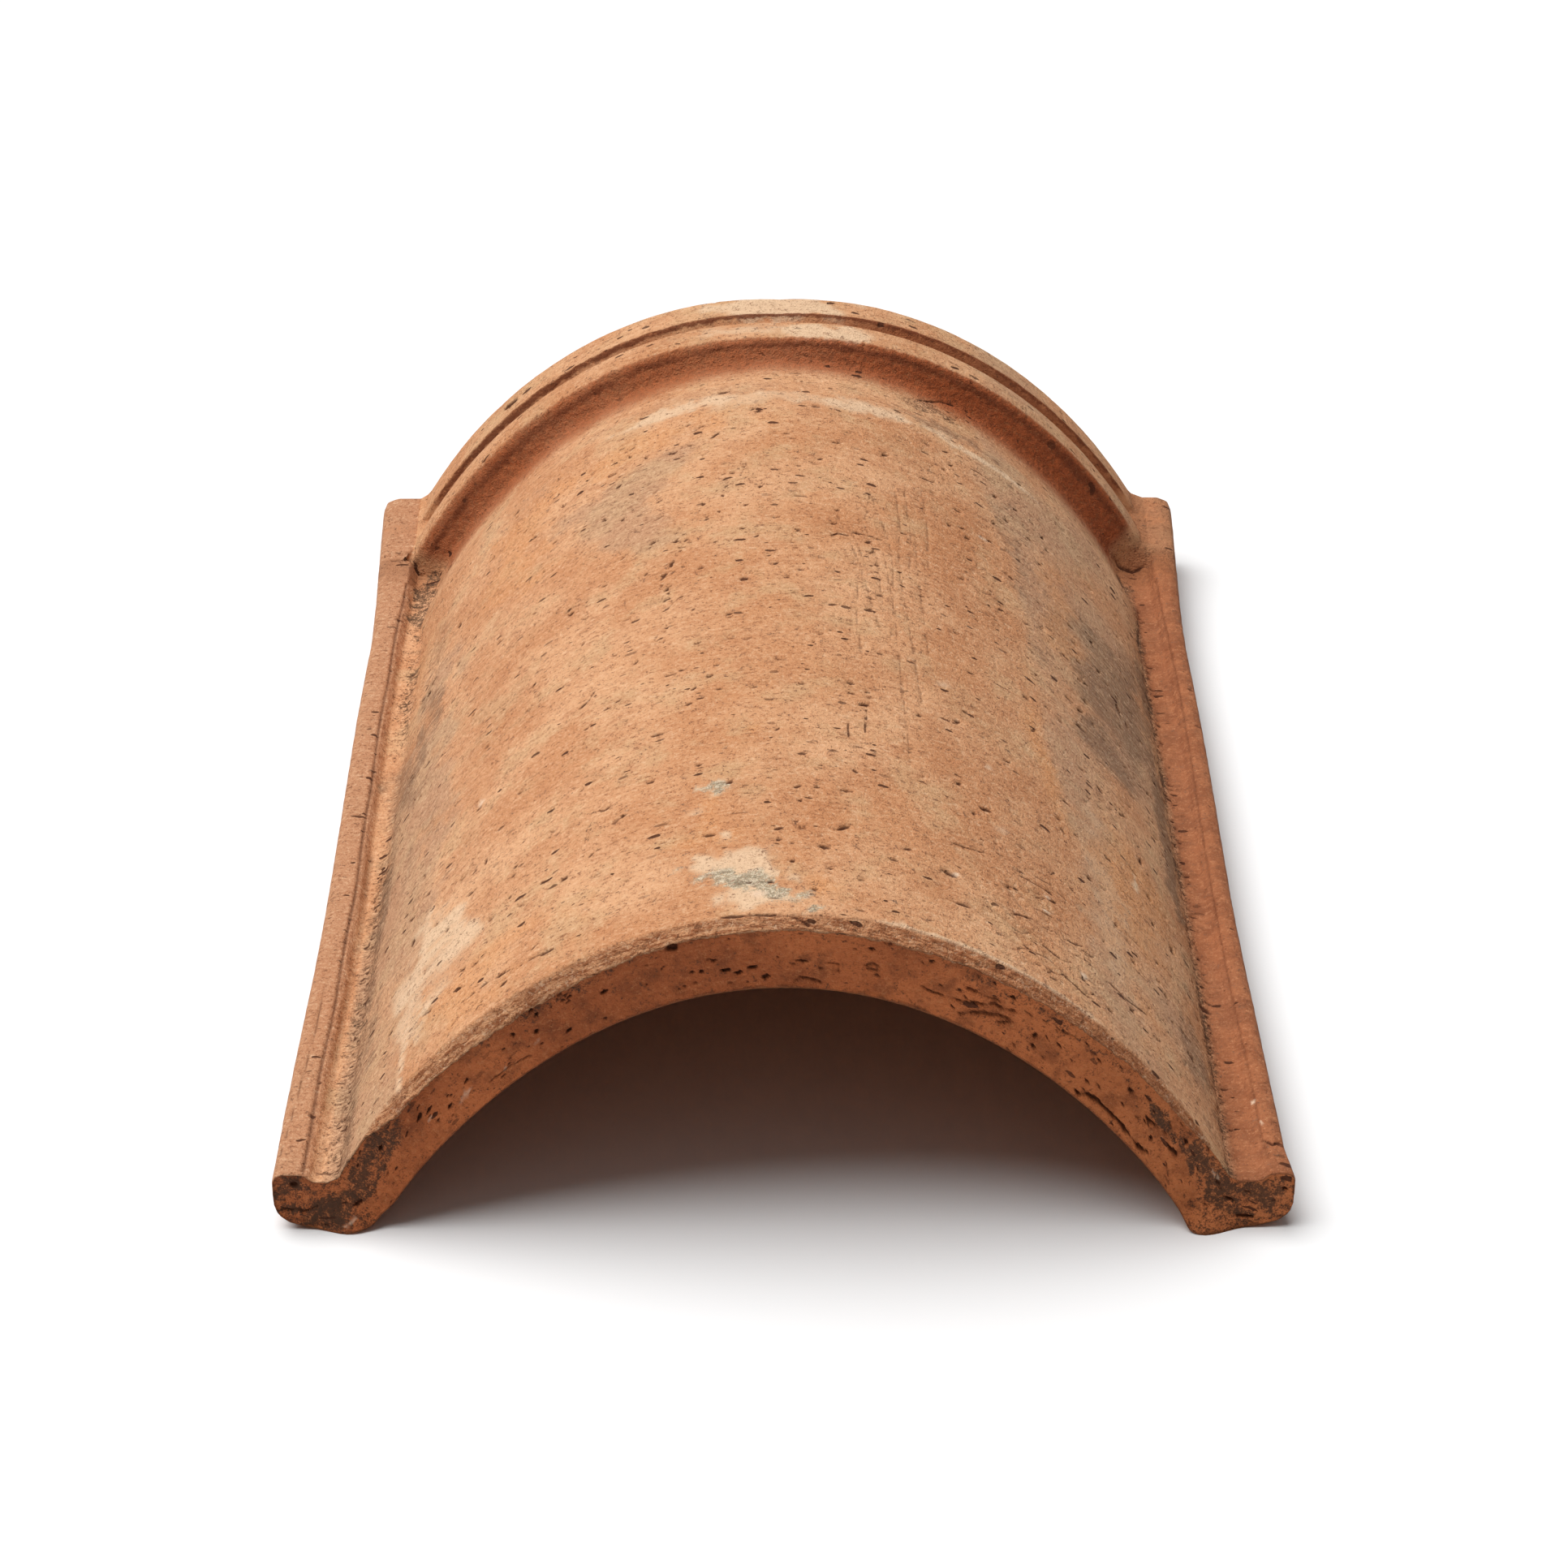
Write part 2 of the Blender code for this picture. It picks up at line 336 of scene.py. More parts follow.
# Pits that show from a step away: how far right of the crown, how far from the plain end, half length,
# half width, tilt.
PITS = (
    (-16, 288, 1.9, 1.3, 0), (10, 274.5, 1.3, 0.7, 5), (-6, 271, 1.1, 0.6, 0), (-22, 266.5, 1.1, 0.6, 20),
    (-18, 259, 2.2, 0.6, 55), (-25, 256, 1, 0.7, 0), (-30, 254, 1.5, 0.7, -20), (2, 256.5, 0.9, 0.6, 0),
    (15, 253, 1.1, 0.7, 0), (29, 252, 1.3, 0.8, 50), (19, 261, 1, 0.5, -20), (42, 269, 1.1, 0.7, -20),
    (43, 251.5, 1.9, 0.5, 0), (41, 245, 2.2, 0.6, 0), (47, 257, 0.9, 0.6, -40), (-48, 255, 1.4, 0.8, 0),
    (-38, 257, 1.2, 0.5, -70), (-43, 262, 1.3, 0.4, -70), (-13, 233, 0.9, 0.8, 0),
    (-49.5, 228, 1.3, 0.4, -70), (-44, 223, 0.9, 0.6, 90), (5, 217, 1.8, 0.6, 0),
    (-33, 215, 1.6, 0.5, 40), (47, 222, 1, 0.6, 90), (51, 224, 1.4, 0.5, 30), (60, 225.5, 1.1, 0.6, 30),
    (-5.5, 223, 1, 0.6, 80), (5, 236, 0.9, 0.5, -30), (9, 238, 1.3, 0.4, -50),
    (15, 210.5, 0.9, 0.6, 90), (14, 202, 1.1, 0.6, 40), (20.5, 198.5, 1.7, 0.7, 0),
    (23, 194, 0.9, 0.6, 0), (33, 205.5, 1, 0.6, 20), (24, 189, 1.6, 0.5, 50), (25, 182, 0.9, 0.6, 20),
    (-29, 185, 1.9, 0.6, 70), (-36, 184, 1, 0.4, 80), (-43, 199, 1, 0.5, 50), (-48, 187, 1, 0.6, 0),
    (-26, 193, 1.1, 0.5, 0), (-28.5, 198, 1, 0.6, 0), (-34.5, 201, 1.2, 0.7, 30),
    (63.5, 258, 1.2, 0.6, 80), (62, 239, 1.1, 0.5, 60), (50, 234, 1.2, 0.6, 0), (67, 247, 1.2, 0.7, 80),
    (65, 243, 1, 0.6, 20), (-31, 180, 1.2, 0.9, 90), (-21, 178.5, 1.1, 0.6, 0),
    (-30, 171, 1.4, 0.6, 70), (-9.5, 168.5, 1.3, 1.1, 0), (5, 173, 0.9, 0.6, 0),
    (1.5, 168.5, 0.9, 0.5, 60), (10.5, 181, 1.3, 0.5, 0), (19, 180, 0.9, 0.5, 0),
    (22.5, 155.5, 1.2, 0.5, 50), (37, 171.5, 0.9, 0.6, 0), (46.5, 158, 0.8, 0.5, 0),
    (-53.5, 159, 0.9, 0.5, 90), (-43.5, 144, 0.8, 0.5, 0), (-52, 124, 1.2, 0.5, 20),
    (-28, 123, 1.7, 0.5, 0), (-18, 118, 1.1, 0.7, 0), (10, 138, 0.9, 0.5, 30), (17, 113.5, 1.2, 0.6, 20),
    (5, 111, 1.1, 0.5, 10), (17, 108.5, 1, 0.6, 0), (20, 103.5, 1.6, 0.8, 20),
    (47, 116.5, 1, 0.6, 20), (44.5, 109.5, 1.2, 0.5, 30), (-31, 94, 1.9, 0.6, -10),
    (18.5, 82, 1.1, 0.5, 0), (-20, 74, 1.1, 0.6, 0), (43.5, 78, 1, 0.5, 60), (50.5, 71, 2, 0.8, 20),
    (-12.5, 63.5, 0.8, 1.2, 0), (15, 60, 1.9, 0.6, 5), (8, 60, 1, 0.4, 20), (-8, 57.5, 1.2, 0.4, 0),
    (-10, 48.5, 2.2, 0.35, 0), (4, 53.5, 0.7, 0.5, 0), (-17, 40, 1.5, 0.8, -10), (14, 42.5, 2.2, 0.7, 40),
    (9.5, 33, 1.4, 0.9, -10), (-1, 35.5, 0.8, 0.6, 0), (2, 26, 0.7, 0.6, 0), (-3, 17, 0.9, 0.9, 0),
    (7, 14, 0.8, 0.6, -30), (-57, 13, 1.1, 0.8, 0), (-46.5, 47, 0.9, 0.5, 60), (18, 20.5, 0.8, 0.6, 0),
    (39.5, 33.5, 2.1, 1, -15), (42, 21.5, 2.6, 0.6, 0), (55, 39, 0.7, 0.7, 0), (75.5, 18, 1, 0.8, 0),
    (-53.5, 42, 1, 1.2, 0), (-75, 44.5, 1.1, 0.8, 0), (-91, 58, 1.2, 0.6, -50),
    (-105.5, 70, 1.9, 0.9, -80), (-107.5, 83.5, 1.4, 0.7, -20), (-106.5, 107, 1.1, 0.6, -20),
    (-104.5, 100.5, 1.2, 0.5, -60), (-110.5, 36, 1.3, 0.8, -40), (-82.5, 65, 1.5, 0.5, 15),
    (-111, 16, 1.2, 0.7, 0), (-83.5, 23, 1, 0.5, 0), (-83, 31, 1.3, 0.5, -20), (-75, 16, 1.4, 0.7, 0),
    (-70, 15.5, 1.8, 0.5, -5), (-64, 13.5, 0.6, 0.5, 0), (-61, 13.5, 1.3, 0.5, 0),
    (-57.5, 13, 1, 0.7, 0), (-95, 26, 2.4, 0.6, -25), (-98.5, 24, 1.5, 0.4, -15),
    (-87, 76.5, 1.4, 0.4, 0), (-79, 75.5, 1.6, 0.5, 85), (-104.5, 52.5, 1.2, 0.4, -70),
    (-98, 47, 1.4, 0.4, 80), (-84, 106.5, 1.4, 0.6, 20), (-96, 66, 1.2, 0.5, -30),
    (-68.5, 61.5, 0.8, 0.6, 0), (-69, 58, 0.9, 0.6, 0), (-66, 41.5, 1, 0.4, -40),
    (-69.5, 48.5, 1, 0.4, -60), (105.5, 107.5, 1.9, 0.9, 75), (101, 97, 2, 0.9, -20),
    (107, 92, 1.3, 1, -60), (90.5, 89.5, 1.7, 0.8, 0), (82, 70, 1, 0.8, 60), (95, 47.5, 1, 0.8, 0),
    (90, 58, 0.9, 0.6, 0), (116.5, 32.5, 2.2, 1, -10), (91.5, 22, 1, 0.7, 60), (83, 13, 1, 0.7, 0),
    (107, 79.5, 1.2, 0.8, 60), (115.5, 79, 2.4, 1.2, -60), (129.5, 71, 1.6, 1.4, 0),
    (105, 51, 0.9, 0.5, 30), (108, 48, 0.9, 0.7, 0), (114.5, 67, 1.4, 0.7, -30),
    (88.5, 201, 1.2, 0.8, 20), (98.5, 199, 1.2, 0.7, 50), (106, 188.5, 2.3, 0.8, -70),
    (109.5, 184.5, 1.5, 0.7, -70), (89.5, 191.5, 1.1, 0.7, 0), (89, 185, 3.2, 0.5, -5),
    (90, 170, 1.2, 1, 0), (87, 161, 1.5, 0.6, 30), (92, 160, 1.1, 0.6, -60), (86, 151, 1.7, 0.7, 30),
    (74, 146, 1, 0.6, 0), (91, 124.5, 1.6, 1, -50), (97, 214, 1.4, 0.7, 60), (88, 210, 1.6, 0.5, 0),
    (82, 248, 1.1, 0.7, 30), (80.5, 254, 1.2, 0.6, 60), (71, 237.5, 1.4, 0.6, 0),
    (116, 157, 1.3, 0.6, 50), (-104, 235, 1.8, 0.8, -60), (-117, 215, 2, 0.9, -60),
    (-115, 219, 1.8, 1, 30), (-102, 209, 1.5, 0.8, -40), (-90, 335.5, 3.4, 1.6, -20),
    (-74, 246, 1.4, 0.6, -60), (-64, 253, 1.1, 0.6, -30), (-66, 232.5, 1, 0.6, -40),
    (-78, 255, 1.3, 0.6, 40), (-69, 218.5, 0.9, 0.5, -50), (-71, 196, 1.2, 0.5, -40),
    (-58, 180.5, 1, 0.8, 0),
)
rng = np.random.default_rng(5)
for right, forward, long, wide, tilt in PITS:
    upper_skin.press(right, forward, long, 1.1 * wide, tilt, rng.uniform(0.5, 0.9), rng.uniform(0.75, 1))
SMALL_PITS = 460
for _ in range(SMALL_PITS):
    long = rng.uniform(0.6, 1.3)
    wide = long * rng.uniform(0.35, 0.6)
    right, forward = rng.uniform(-126, 126), rng.uniform(6, 298)
    tilt, depth, dark = rng.normal(10, 25), rng.uniform(0.25, 0.6), rng.uniform(0.3, 1)
    upper_skin.press(right, forward, long, wide, tilt, depth, dark)
# A chain of small tears left of the crown, where the clay was stretched.
TORN_CHAIN = ((138, -31), (168, -31), (183, -29), (203, -26), (222, -16), (236, -12))
for forward in np.arange(138, 236, 1.9):
    right = np.interp(forward, *np.array(TORN_CHAIN).T) + rng.normal(0, 2.2)
    long = rng.uniform(0.5, 1.2)
    upper_skin.press(right, forward, long, 0.5 * long, rng.normal(70, 35), 0.35, rng.uniform(0.25, 0.8))

# Scratches run lengthwise, right of the crown: the places along each.
SCRATCHES = (
    ((-9, 239), (-11, 230), (-15, 224)),
    ((23, 232), (26, 213), (28.5, 200), (29.5, 183), (29, 172)),
    ((14, 212), (17, 197), (20, 183), (23, 160), (25, 145)),
    ((17.5, 202), (20, 192), (22, 180)),
    ((31, 238), (32, 210), (31, 183), (33, 150), (35, 112)),
    ((34, 232), (35, 205), (34, 184)),
    ((27, 190), (29, 160), (30, 118), (31, 80)),
    ((36, 215), (36.5, 180), (38, 130)),
    ((20, 175), (19, 150), (20, 128)),
    ((24, 225), (22, 205), (25, 186), (26, 160)),
    ((39, 236), (40, 214), (39.5, 190)),
)
for line in SCRATCHES:
    upper_skin.score(0.22, 0.16, 0.42, line)

# Cracks: half width, depth, then the places along each.
CRACKS = (
    (0.20, 0.24, ((15.5, 98), (16, 86))),
    (0.20, 0.24, ((20.5, 101), (20, 90))),
    (0.30, 0.40, ((-30, 159), (-28, 162), (-26, 165))),
    (0.30, 0.40, ((-53, 124), (-50, 126), (-49, 129))),
    (0.28, 0.50, ((-84.5, 9), (-83, 10.8), (-80, 9.8), (-77, 10.2))),
    (0.22, 0.30, ((-82, 16), (-78, 15.7))),
    (0.22, 0.30, ((-71, 15.2), (-66, 14.4))),
    (0.22, 0.30, ((-60, 13.5), (-55, 12.6))),
    (0.26, 0.45, ((-14, 3.4), (-8, 3.2), (-2, 3.1), (3, 2.4), (5.5, 1.2))),
    (0.30, 0.40, ((59, 47.5), (64, 48.2), (68, 48))),
    (0.28, 0.35, ((63, 42), (66, 44), (69, 45.2))),
    (0.28, 0.35, ((62, 36), (65, 36.8), (67.5, 37))),
    (0.28, 0.35, ((56, 28), (61, 30), (66, 29.5), (69, 31))),
    (0.28, 0.30, ((60, 20.5), (64, 21.5), (68, 20))),
    (0.28, 0.30, ((58, 16), (62, 15.6), (66, 16.4))),
    (0.28, 0.32, ((69, 13), (73, 12), (76, 11))),
    (0.28, 0.35, ((41, 48), (45, 48.5), (50, 50))),
    (0.25, 0.28, ((84, 26), (90, 25), (97, 27))),
    (0.25, 0.30, ((54, 266.8), (60, 267), (64, 266.5))),
    (0.34, 0.55, ((42, 302), (46, 305), (50, 309), (54, 310))),
    (0.26, 0.40, ((50, 296), (54, 300), (55, 304))),
    (0.28, 0.50, ((-141, 311), (-137, 311.8), (-133, 310.6), (-128, 311.6))),
    (0.28, 0.50, ((127, 311.5), (131, 311), (134, 312.4), (137, 311.6))),
    (0.26, 0.40, ((137.5, 14), (140, 11), (142, 12.5))),
)
for width, depth, line in CRACKS:
    upper_skin.score(width, depth, 0.85, line)

# Where the skin dragged it tore in short strokes: the middle, the reach either way, how many, how dark.
DRAGGED = (
    (65, 32, 13, 24, 34, 0.70),
    (61, 204, 9, 36, 34, 0.50),
    (104, 120, 16, 110, 60, 0.60),
)
for right, forward, reach_across, reach_along, strokes, dark in DRAGGED:
    for _ in range(strokes):
        start = right + rng.uniform(-1, 1) * reach_across, forward + rng.uniform(-1, 1) * reach_along
        tilt, long = math.radians(rng.normal(12, 16)), rng.uniform(2, 5.5)
        bend = start[0] + 0.5 * long * math.cos(tilt), start[1] + 0.5 * long * math.sin(tilt)
        bend = bend[0], bend[1] + rng.normal(0, 0.3)
        end = start[0] + long * math.cos(tilt), start[1] + long * math.sin(tilt)
        upper_skin.score(0.20, 0.25, dark * rng.uniform(0.5, 1.2), (start, bend, end))

# Creases that the wire left beside the left lip, one on the left lip's top, and one beside the right lip; the
# dark along them is painted shade.
CREASES_ROUGH = 0.22
CREASES = (
    (0.55, 0.50, 0.50, tuple((-137 + 0.25 * math.sin(v / 9), v) for v in range(2, 306, 8))),
    (0.75, 0.22, 0.30, tuple((-133.2 + 0.3 * math.sin(v / 13), v) for v in range(2, 150, 8))),
    (0.24, 0.30, 0.50, ((-140.2, 80), (-140.8, 50), (-142, 24), (-143.6, 6))),
    (0.60, 0.40, 0.30, (
        (137.4, 300), (137.6, 220), (137.4, 150), (137.2, 110), (137, 70), (137.6, 40),
        (137.2, 14), (138.4, 6),
    )),
)
for width, depth, dark, line in CREASES:
    upper_skin.score(width, depth, dark, line, CREASES_ROUGH)
# Crumbs in the floors of both troughs.
for forward in np.arange(3, 150, 1.7):
    across_foot = -129.4 + rng.normal(0, 1.1)
    long, wide, tilt = rng.uniform(0.4, 1), rng.uniform(0.3, 0.6), rng.normal(40, 30)
    upper_skin.press(across_foot, forward, long, wide, tilt, 0.22, rng.uniform(0.3, 0.95))
for forward in np.arange(20, 290, 3.4):
    long, tilt = rng.uniform(0.5, 1.1), rng.uniform(0, 180)
    upper_skin.press(129.6 + rng.normal(0, 1.2), forward, long, 0.5, tilt, 0.4, rng.uniform(0.4, 0.9))
# Knocks in the far rim of the collar: how far right of the crown, half length, depth.
RIM_KNOCKS = ((84, 3, 1), (93, 2.2, 0.8), (70, 2, 0.5), (-20, 2.4, 0.4), (-96, 3, 0.6))
for right, long, depth in RIM_KNOCKS:
    upper_skin.press(right, LENGTH, long, 2, 0, depth, 0.2)

# The skin between the marks: pressed by hand over the hump, smeared on the right, ruffled in the left trough.
LEAST_DEPTH = 0.28
uneven = LEAST_DEPTH + 0.08 * waves(across, up_along, 48, 41) + 0.05 * waves(across, up_along, 12, 42)
uneven = uneven + 0.045 * waves(across, up_along, 2.6, 43)


def patch(across, along, middle, size, turn=0, seed=0, ragged=0.35):
    """A soft patch on the unrolled clay, one in its middle and fading to nothing at its ragged border."""
    right, up = across - middle[0], along - middle[1]
    turn = math.radians(turn)
    lengthwise = (right * math.cos(turn) + up * math.sin(turn)) / size[0]
    sideways = (up * math.cos(turn) - right * math.sin(turn)) / size[1]
    small = min(size)
    border = waves(across, along, small * 0.6, seed) + 0.5 * waves(across, along, small * 0.2, seed + 1)
    return eased(1.5 * (1 - np.hypot(lengthwise, sideways) + ragged * border))


def furrowed(across, along):
    """Slanting furrows, uneven and broken, from 0 to 1."""
    phase = (along + across * 0.8) * 2 * np.pi / 6.4 + 3.2 * waves(across, along, 9, 145)
    return eased(0.5 + 0.5 * np.sin(phase)) * eased(0.6 + 0.9 * waves(across, along, 7, 148))


smeared = patch(across, up_along, (57, 200), (14, 34), 15, 44)
smeared = smeared + patch(across, up_along, (57, 28), (26, 28), 0, 45)
diagonal = across * 0.55 + up_along * 0.83
uneven = uneven + smeared * 0.42 * waves(diagonal * 1.4, (up_along - across) * 0.35, 2.4, 46)
trough_left = eased((across + 132.5) / 2) * eased((-124 - across) / 3)
uneven = uneven + trough_left * 0.13 * furrowed(across, up_along) * eased((165 - up_along) / 30)

# The plain end's top edge is worn back in a granular chamfer, widest on the left; the collar's is rounded.
WORN_DEEP = (
    (-116, 0.2), (-108, 2.6), (-90, 3.4), (-70, 4.2), (-45, 3.8), (-25, 2.5),
    (0, 2.4), (35, 2.6), (75, 2.4), (110, 1.6), (122, 0.3),
)
WORN_BACK = (
    (-116, 0.3), (-108, 3.6), (-90, 3), (-60, 2.4), (-30, 3.2),
    (0, 3.4), (30, 4), (75, 3.8), (110, 1.8), (122, 0.4),
)
worn_deep = np.interp(across, *np.array(WORN_DEEP).T)
worn_back = np.interp(across, *np.array(WORN_BACK).T) * (1 + 0.12 * waves(across, up_along, 3, 31))
crumbled = np.clip(1 - up_along / worn_back, 0, 1)
grains = 0.30 * upper_skin.crumbs + 0.24 * waves(across * 0.4, up_along, 1.3, 32)
ends = worn_deep * crumbled + grains * np.clip(crumbled * 3, 0, 1) * (np.abs(across) < 116)
COLLAR_END_WEAR = 2.4
from_collar_end = np.maximum(COLLAR_END_WEAR - (LENGTH - up_along), 0)
ends = ends + COLLAR_END_WEAR - np.sqrt(COLLAR_END_WEAR ** 2 - from_collar_end ** 2)
front_grain = eased((up_along - 307.5) / 2) * eased((316.5 - up_along) / 2) * (np.abs(across) < 124)
uneven = uneven + 0.38 * upper_skin.crumbs * front_grain
depth_top = uneven + upper_skin.dents + ends
DEPTH_UNDERNEATH = 0.15
depth_bottom = DEPTH_UNDERNEATH + 0.12 * waves(across_bottom[None, :], up_along, 40, 51)
depth_bottom = depth_bottom * eased(up_along / 12) * eased((LENGTH - up_along) / 12)

# The mesh of the tile: a closed ring of points for every cross-section, then a grid over each end.
rows, tops, bottoms = len(along), top.shape[1], bottom.shape[1]
ring = np.concatenate([top, bottom[:, -2:0:-1]], axis=1)
points = np.empty((rows, ring.shape[1], 3))
points[:, :, 0] = ring[:, :, 0]
points[:, :, 1] = along[:, None] - LENGTH / 2
points[:, :, 2] = ring[:, :, 1]
around = np.roll(points, -1, axis=1) - np.roll(points, 1, axis=1)
outward = np.cross(around, np.gradient(points, axis=0))
outward[:, :, 1] = 0
outward /= np.linalg.norm(outward, axis=2, keepdims=True)
clear_of_floor = np.interp(np.abs(across_bottom[-2:0:-1]), (106, 110, 138), (1, 0, 0))
depth_ring = np.concatenate([depth_top, depth_bottom[:, -2:0:-1] * clear_of_floor], axis=1)
points -= outward * depth_ring[:, :, None]
lay = np.zeros(points.shape)
lay[:, :, 0] = np.concatenate([across_top, across_bottom[-2:0:-1]])
lay[:, :, 1] = along[:, None]
lay[:, tops:, 2] = 2
marks = np.zeros(points.shape[:2] + (4,))
marks[:, :tops, 0] = upper_skin.dark
marks[:, :tops, 1] = np.clip(crumbled * 4, 0, 1) * (np.abs(across) < 120)


def grid_triangles(index):
    a, b, c, d = index[:-1, :-1], index[:-1, 1:], index[1:, 1:], index[1:, :-1]
    return np.concatenate([np.stack([a, b, c], -1).reshape(-1, 3), np.stack([a, c, d], -1).reshape(-1, 3)])


body = np.arange(rows * ring.shape[1]).reshape(rows, -1)
triangles = [grid_triangles(np.concatenate([body, body[:, :1]], axis=1))]
vertices, lays, marked = [points.reshape(-1, 3)], [lay.reshape(-1, 3)], [marks.reshape(-1, 4)]
count = len(vertices[0])

# Pits and cracks in the plain end, as above, but the second number is how far down from the top edge.
FACE_PITS = (
    (-98, 10.5, 1.2, 1, 0), (-94, 11.5, 1.1, 0.7, 30), (-113, 0.8, 1, 0.7, 0),
    (-112.5, 6.5, 0.7, 0.6, 0), (-86, 16, 0.8, 0.6, 0), (-81, 13, 0.7, 0.5, 0), (-67.5, 9, 1.4, 0.4, -40),
    (-60, 12, 0.9, 0.5, -40), (-50, 17, 0.8, 0.5, 0), (-61, 7, 0.6, 0.5, 0), (-63, 5, 0.6, 0.5, 0),
    (-52, 7, 0.7, 0.4, 0), (-26, 3.5, 1.8, 1.1, -30), (-13, 12, 1.2, 0.5, 0), (-10, 13, 1, 0.5, 0),
    (-7, 12, 1.2, 0.4, 0), (-4, 14.5, 0.9, 0.7, 0), (-18.5, 11.5, 0.5, 0.4, 0),
    (-20.5, 11.5, 0.5, 0.4, 0), (-16, 9, 0.8, 0.3, 10), (4, 10.8, 1.4, 0.4, 0), (-42, 10, 0.9, 0.6, 0),
    (65, 2.4, 0.8, 0.4, 20), (90, 9.3, 1.2, 0.6, 30), (112, 6, 0.9, 0.6, 40), (95, 14, 0.8, 0.4, 30),
    (87, 15, 0.8, 0.4, 30), (97.5, 16.5, 0.9, 0.4, 30), (127, 8.5, 0.8, 0.5, 0),
    (128.5, 12.8, 1, 0.6, 20), (141, 4.5, 0.7, 0.6, 0), (-139, 3, 1.2, 0.7, 0),
    (60, 13.3, 1.1, 0.5, 45), (67, 12, 1, 0.4, 20), (59, 16.5, 0.8, 0.5, 0), (-124, 12, 0.9, 0.6, 0),
    (20, 5.4, 0.7, 0.4, 30), (55, 5.8, 0.7, 0.4, 30), (80, 8, 0.7, 0.4, 30), (75, 17, 0.8, 0.5, 0),
)
FACE_CUTS = (
    (0.30, 0.6, ((2, 16.5), (3.5, 15), (6, 15.3), (8, 15.8))),
    (0.30, 0.6, ((9.5, 12.4), (12.3, 12.6), (12.2, 10.8), (9.8, 10.8))),
    (0.28, 0.5, ((18.4, 10.2), (20, 9.3), (21.4, 9.6), (20.8, 10.8), (18.8, 11))),
    (0.40, 0.8, ((31, 12.5), (35, 13.2), (41, 13), (46, 12), (49, 10.5), (55, 9.3))),
    (0.35, 0.7, ((43, 9), (47, 9.2), (52, 8.5))),
    (0.35, 0.7, ((40, 16.5), (44, 15), (48, 13.5), (53, 12))),
    (0.30, 0.6, ((50, 15), (52, 13.6), (54, 12.5))),
    (0.22, 0.4, ((58, 8), (66, 7.5), (72, 6.3), (76, 6.6))),
    (0.50, 1, ((96, 12.6), (98, 12.2), (100, 11.4), (104, 10.8))),
    (0.65, 1.1, ((105, 13.3), (107, 12.8), (108.6, 12.2))),
    (0.25, 0.5, ((96, 6.6), (101, 6.2), (107, 7.2), (112, 7.8))),
    (0.35, 0.6, ((-143, 9.6), (-139, 10.2), (-134, 9.2), (-130, 8.4))),
    (0.25, 0.4, ((-72, 18.4), (-66, 18.2), (-60, 18.6))),
    (0.55, 1.2, ((71, 22.2), (74.5, 21), (78, 20.3), (83, 21), (87, 21.3))),
    (0.65, 1.3, ((86, 21.4), (89, 22.6), (91.5, 23.2), (96, 21.6))),
)

